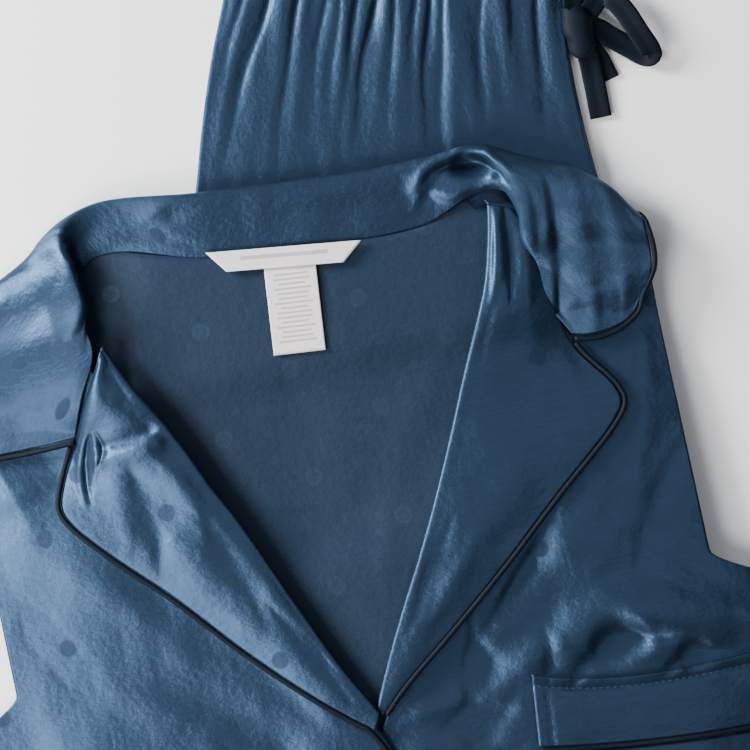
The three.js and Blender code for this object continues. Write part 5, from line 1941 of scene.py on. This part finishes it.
@dataclass
class Sleeves:
    """The two sleeves, flattened and folded behind, with their cuffs and cuff piping.

    Attributes:
        finish: every finish of the set.
        flat: how far its section is drawn out to its folds.
        square: how square its section is, less being squarer.
    """

    finish: Wardrobe
    flat: float = 1.35
    square: float = 0.32

    def build(self) -> None:
        """Makes both sleeves."""
        cuff = SLEEVE_LENGTH - CUFF_LENGTH
        pipe = 2 * (PIPING_RADIUS + SEAM_GAP)
        for side in Side:
            self._tube(f"sleeve_{side.word}", "tube", side, (0, cuff - pipe), 0.0, SLEEVE_THICK)
            self._tube(f"cuff_{side.word}", "turn", side, (cuff, SLEEVE_LENGTH), CUFF_SPARE, CUFF_THICK)
            self._piping(side, cuff - PIPING_RADIUS - SEAM_GAP)
            self._stitches(side, cuff + 2.5)

    def _stitches(self, side: Side, t: float) -> None:
        """Makes the row of stitches along a cuff's seam, at t along the sleeve."""
        half = float(sleeve_half(t)) + CUFF_SPARE
        w = np.linspace(-0.85, 0.85, 160) * half
        tt = np.full_like(w, t)
        across = 1 - (1 - np.abs(w) / half) ** (1 / self.flat)
        rise = (1 - across**2) ** (self.square / 2)
        over = CUFF_THICK / 2 * (1 + rise) + self._soft(side, tt, w, w / half) + 0.1
        row = turned(self._place(side, tt, w, over))
        sew(f"stitches_cuff_{side.word}", [row], self.finish.thread)

    def _soft(self, side: Side, t: Array, w: Array, share: Array) -> Array:
        """Returns the upper face's unevenness, none at the folds or where the sleeve starts."""
        uneven = ripple(t, w, 60, 0.3, seed=51 + side.value, stretch=0.7) * (1 - np.abs(share)) ** 0.4
        return np.maximum(uneven, -0.5) * smooth(t, 0, 90)

    def _place(self, side: Side, t: Array, w: Array, over: Array) -> Array:
        """Returns points on a sleeve, at t along it and w across it."""
        c, s = heading(SLEEVE_TURN)
        u = side.value * (SLEEVE_START[0] + t * s + w * c)
        v = SLEEVE_START[1] - t * c + w * s
        return stacked(u, v, trouser_lift(u, v) + over)

    def _tube(
        self, node: str, form: str, side: Side, ends: tuple[float, float], spare: float, thick: float
    ) -> None:
        """Makes one flattened tube.

        Args:
            node: the CAD node that it replaces.
            form: the last word of the piece's name, after the node's.
            side: which sleeve.
            ends: where it starts and ends along the sleeve.
            spare: how much wider than the sleeve it is, on each side.
            thick: its thickness.
        """
        start, stop = ends
        count = max(8, int((stop - start) / 4))
        t = np.linspace(start, stop, count)
        turn = np.linspace(0, 2 * math.pi, 80, endpoint=False)
        flat = np.sign(np.cos(turn)) * (1 - (1 - np.abs(np.cos(turn))) ** self.flat)
        tt, ff = crossed(t, flat)
        half = sleeve_half(tt) + spare
        w = half * ff
        rise = np.sign(np.sin(turn))[None, :] * np.abs(np.sin(turn))[None, :] ** self.square
        over = thick / 2 * (1 + rise) + self._soft(side, tt, w, ff) * (rise > 0) + 0.02
        ring = turned(self._place(side, tt, w, over))
        piece = tube_piece(f"{node}_{form}", ring, stacked(w, tt) + SLEEVE_DOTS)
        dress(piece, self.finish.satin, "satin", node)

    def _piping(self, side: Side, t: float) -> None:
        """Makes the piping over a cuff's seam, at t along the sleeve."""
        half = float(sleeve_half(t)) - 1
        w = np.linspace(-half, half, 34)
        tt = np.full_like(w, t)
        line = self._place(side, tt, w, np.full_like(w, PIPING_RADIUS + 1.0))
        pipe(f"cuff_piping_{side.word}", resampled(turned(line), 1.8), self.finish.trim)


@dataclass(frozen=True)
class Label:
    """A label at the back neck.

    Attributes:
        name: the piece's name.
        node: the CAD node that it replaces.
        middle: u, v of the middle of its upper edge.
        half: half its width.
        height: down.
        mitre: how far each lower corner is turned in.
        turn: how far it is turned, in degrees.
        over: its height above the back's upper face.
    """

    name: str
    node: str
    middle: tuple[float, float]
    half: float
    height: float
    mitre: float
    turn: float
    over: float

    def build(self, finish: Material) -> None:
        """Makes the label.

        Args:
            finish: the label's finish.
        """
        c, s = heading(self.turn)
        a, b = crossed(np.linspace(0, 1, 30), np.linspace(-1, 1, 40))
        across = b * (self.half - self.mitre * a)
        down = a * self.height
        u = self.middle[0] + across * c + down * s
        v = self.middle[1] + across * s - down * c
        bend = 0.25 * np.sin(down / 9.0 + 0.6) + 0.12 * np.sin(across / 7.0)
        z = back_height(u, v) + (CLOTH + 0.7) / 2 + self.over + bend
        grid = stacked(u, v, z)
        piece = cloth_piece(self.name, grid, stacked(across, -down), LABEL_SHELL)
        dress(piece, finish, "label", self.node)


LABELS = (
    Label(
        "neck_label_band", "neck_label", (0.5, 1.5), half=36.0, height=9.5, mitre=9.0, turn=-7.25, over=2.0
    ),
    Label(
        "care_label_tag", "care_label", (1.6, -7.0), half=12.0, height=41.0, mitre=0.0, turn=-5.4, over=0.8
    ),
)


# The room


@dataclass(frozen=True)
class Lamp:
    """One soft square light, turned to the neck.

    Attributes:
        name: its name.
        place: x, y, z in metres.
        size: its side in metres.
        power: in watts.
        tint: its colour.
    """

    name: str
    place: tuple[float, float, float]
    size: float
    power: float
    tint: str

    def hang(self) -> None:
        """Hangs the light."""
        data = bpy.data.lights.new(self.name, "AREA")
        data.shape = "SQUARE"
        data.size = self.size
        data.energy = self.power
        data.color = srgb(self.tint)[:3]
        light = bpy.data.objects.new(self.name, data)
        light.location = self.place
        aim = Vector((VIEW_CENTRE[0] * MM, VIEW_CENTRE[1] * MM, 0)) - Vector(self.place)
        light.rotation_euler = aim.to_track_quat("-Z", "Y").to_euler()
        bpy.context.scene.collection.objects.link(light)


LAMPS = (
    Lamp("key", (-1.0, 0.42, 0.5), size=0.42, power=50.0, tint="#fbfdff"),
    Lamp("sheen", (-0.62, -0.66, 0.85), size=0.8, power=24.0, tint="#ffffff"),
    Lamp("fill", (-0.8, 0.6, 1.3), size=0.9, power=6.0, tint="#f4f8ff"),
    Lamp("top", (0.6, 0.2, 2.0), size=1.0, power=7.5, tint="#f4f8ff"),
)


@dataclass
class Studio:
    """A pale floor, soft light and a camera straight above.

    Attributes:
        floor: the floor's finish.
        floor_wide: its width in metres.
    """

    floor: PlainFloor = PlainFloor("#f2f2f2")
    floor_wide: float = 30.0

    def camera(self) -> None:
        """Sets the camera above the neck, as in the photo."""
        data = bpy.data.cameras.new("above")
        data.sensor_width = 36.0
        data.lens = 36.0 * (VIEW_HEIGHT - VIEW_PLANE) / VIEW_WIDE
        data.clip_start, data.clip_end = 0.05, 20.0
        camera = bpy.data.objects.new("above", data)
        camera.location = (VIEW_CENTRE[0] * MM, VIEW_CENTRE[1] * MM, VIEW_HEIGHT * MM)
        bpy.context.scene.collection.objects.link(camera)
        bpy.context.scene.camera = camera

    def build(self) -> None:
        """Lays the floor and hangs the lights."""
        bpy.ops.object.select_all(action="DESELECT")
        bpy.ops.mesh.primitive_plane_add(size=self.floor_wide, location=(0, 0, -0.0004))
        floor = bpy.context.active_object
        floor.name = "floor"
        bpy.ops.object.transform_apply(location=True, scale=True)
        floor.data.materials.append(self.floor.build())
        for lamp in LAMPS:
            lamp.hang()
        world = bpy.data.worlds.new("studio")
        bpy.context.scene.world = world
        world.use_nodes = True
        back = world.node_tree.nodes["Background"]
        back.inputs["Color"].default_value = srgb("#dfe3e8")
        back.inputs["Strength"].default_value = 0.14


def main() -> None:
    """Builds the set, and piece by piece."""
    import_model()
    studio = Studio()
    studio.camera()
    finish = Wardrobe()
    Trousers(finish).build()
    Drawstring(finish).build()
    body = Body(finish)
    body.build()
    Lapel(finish, body, Side.RIGHT, RIGHT_LAPEL, RIGHT_LAPEL_CREASES, (-76.8, -106.9), 0.125, True).build()
    Lapel(finish, body, Side.LEFT, LEFT_LAPEL, LEFT_LAPEL_CREASES, (67.0, -149.2), 0.274).build()
    Collar(finish, body).build()
    Pocket(finish, body).build()
    Sleeves(finish).build()
    for label, tape in zip(LABELS, (finish.label, finish.tag)):
        label.build(tape)
    studio.build()


if __name__ == "__main__":
    main()
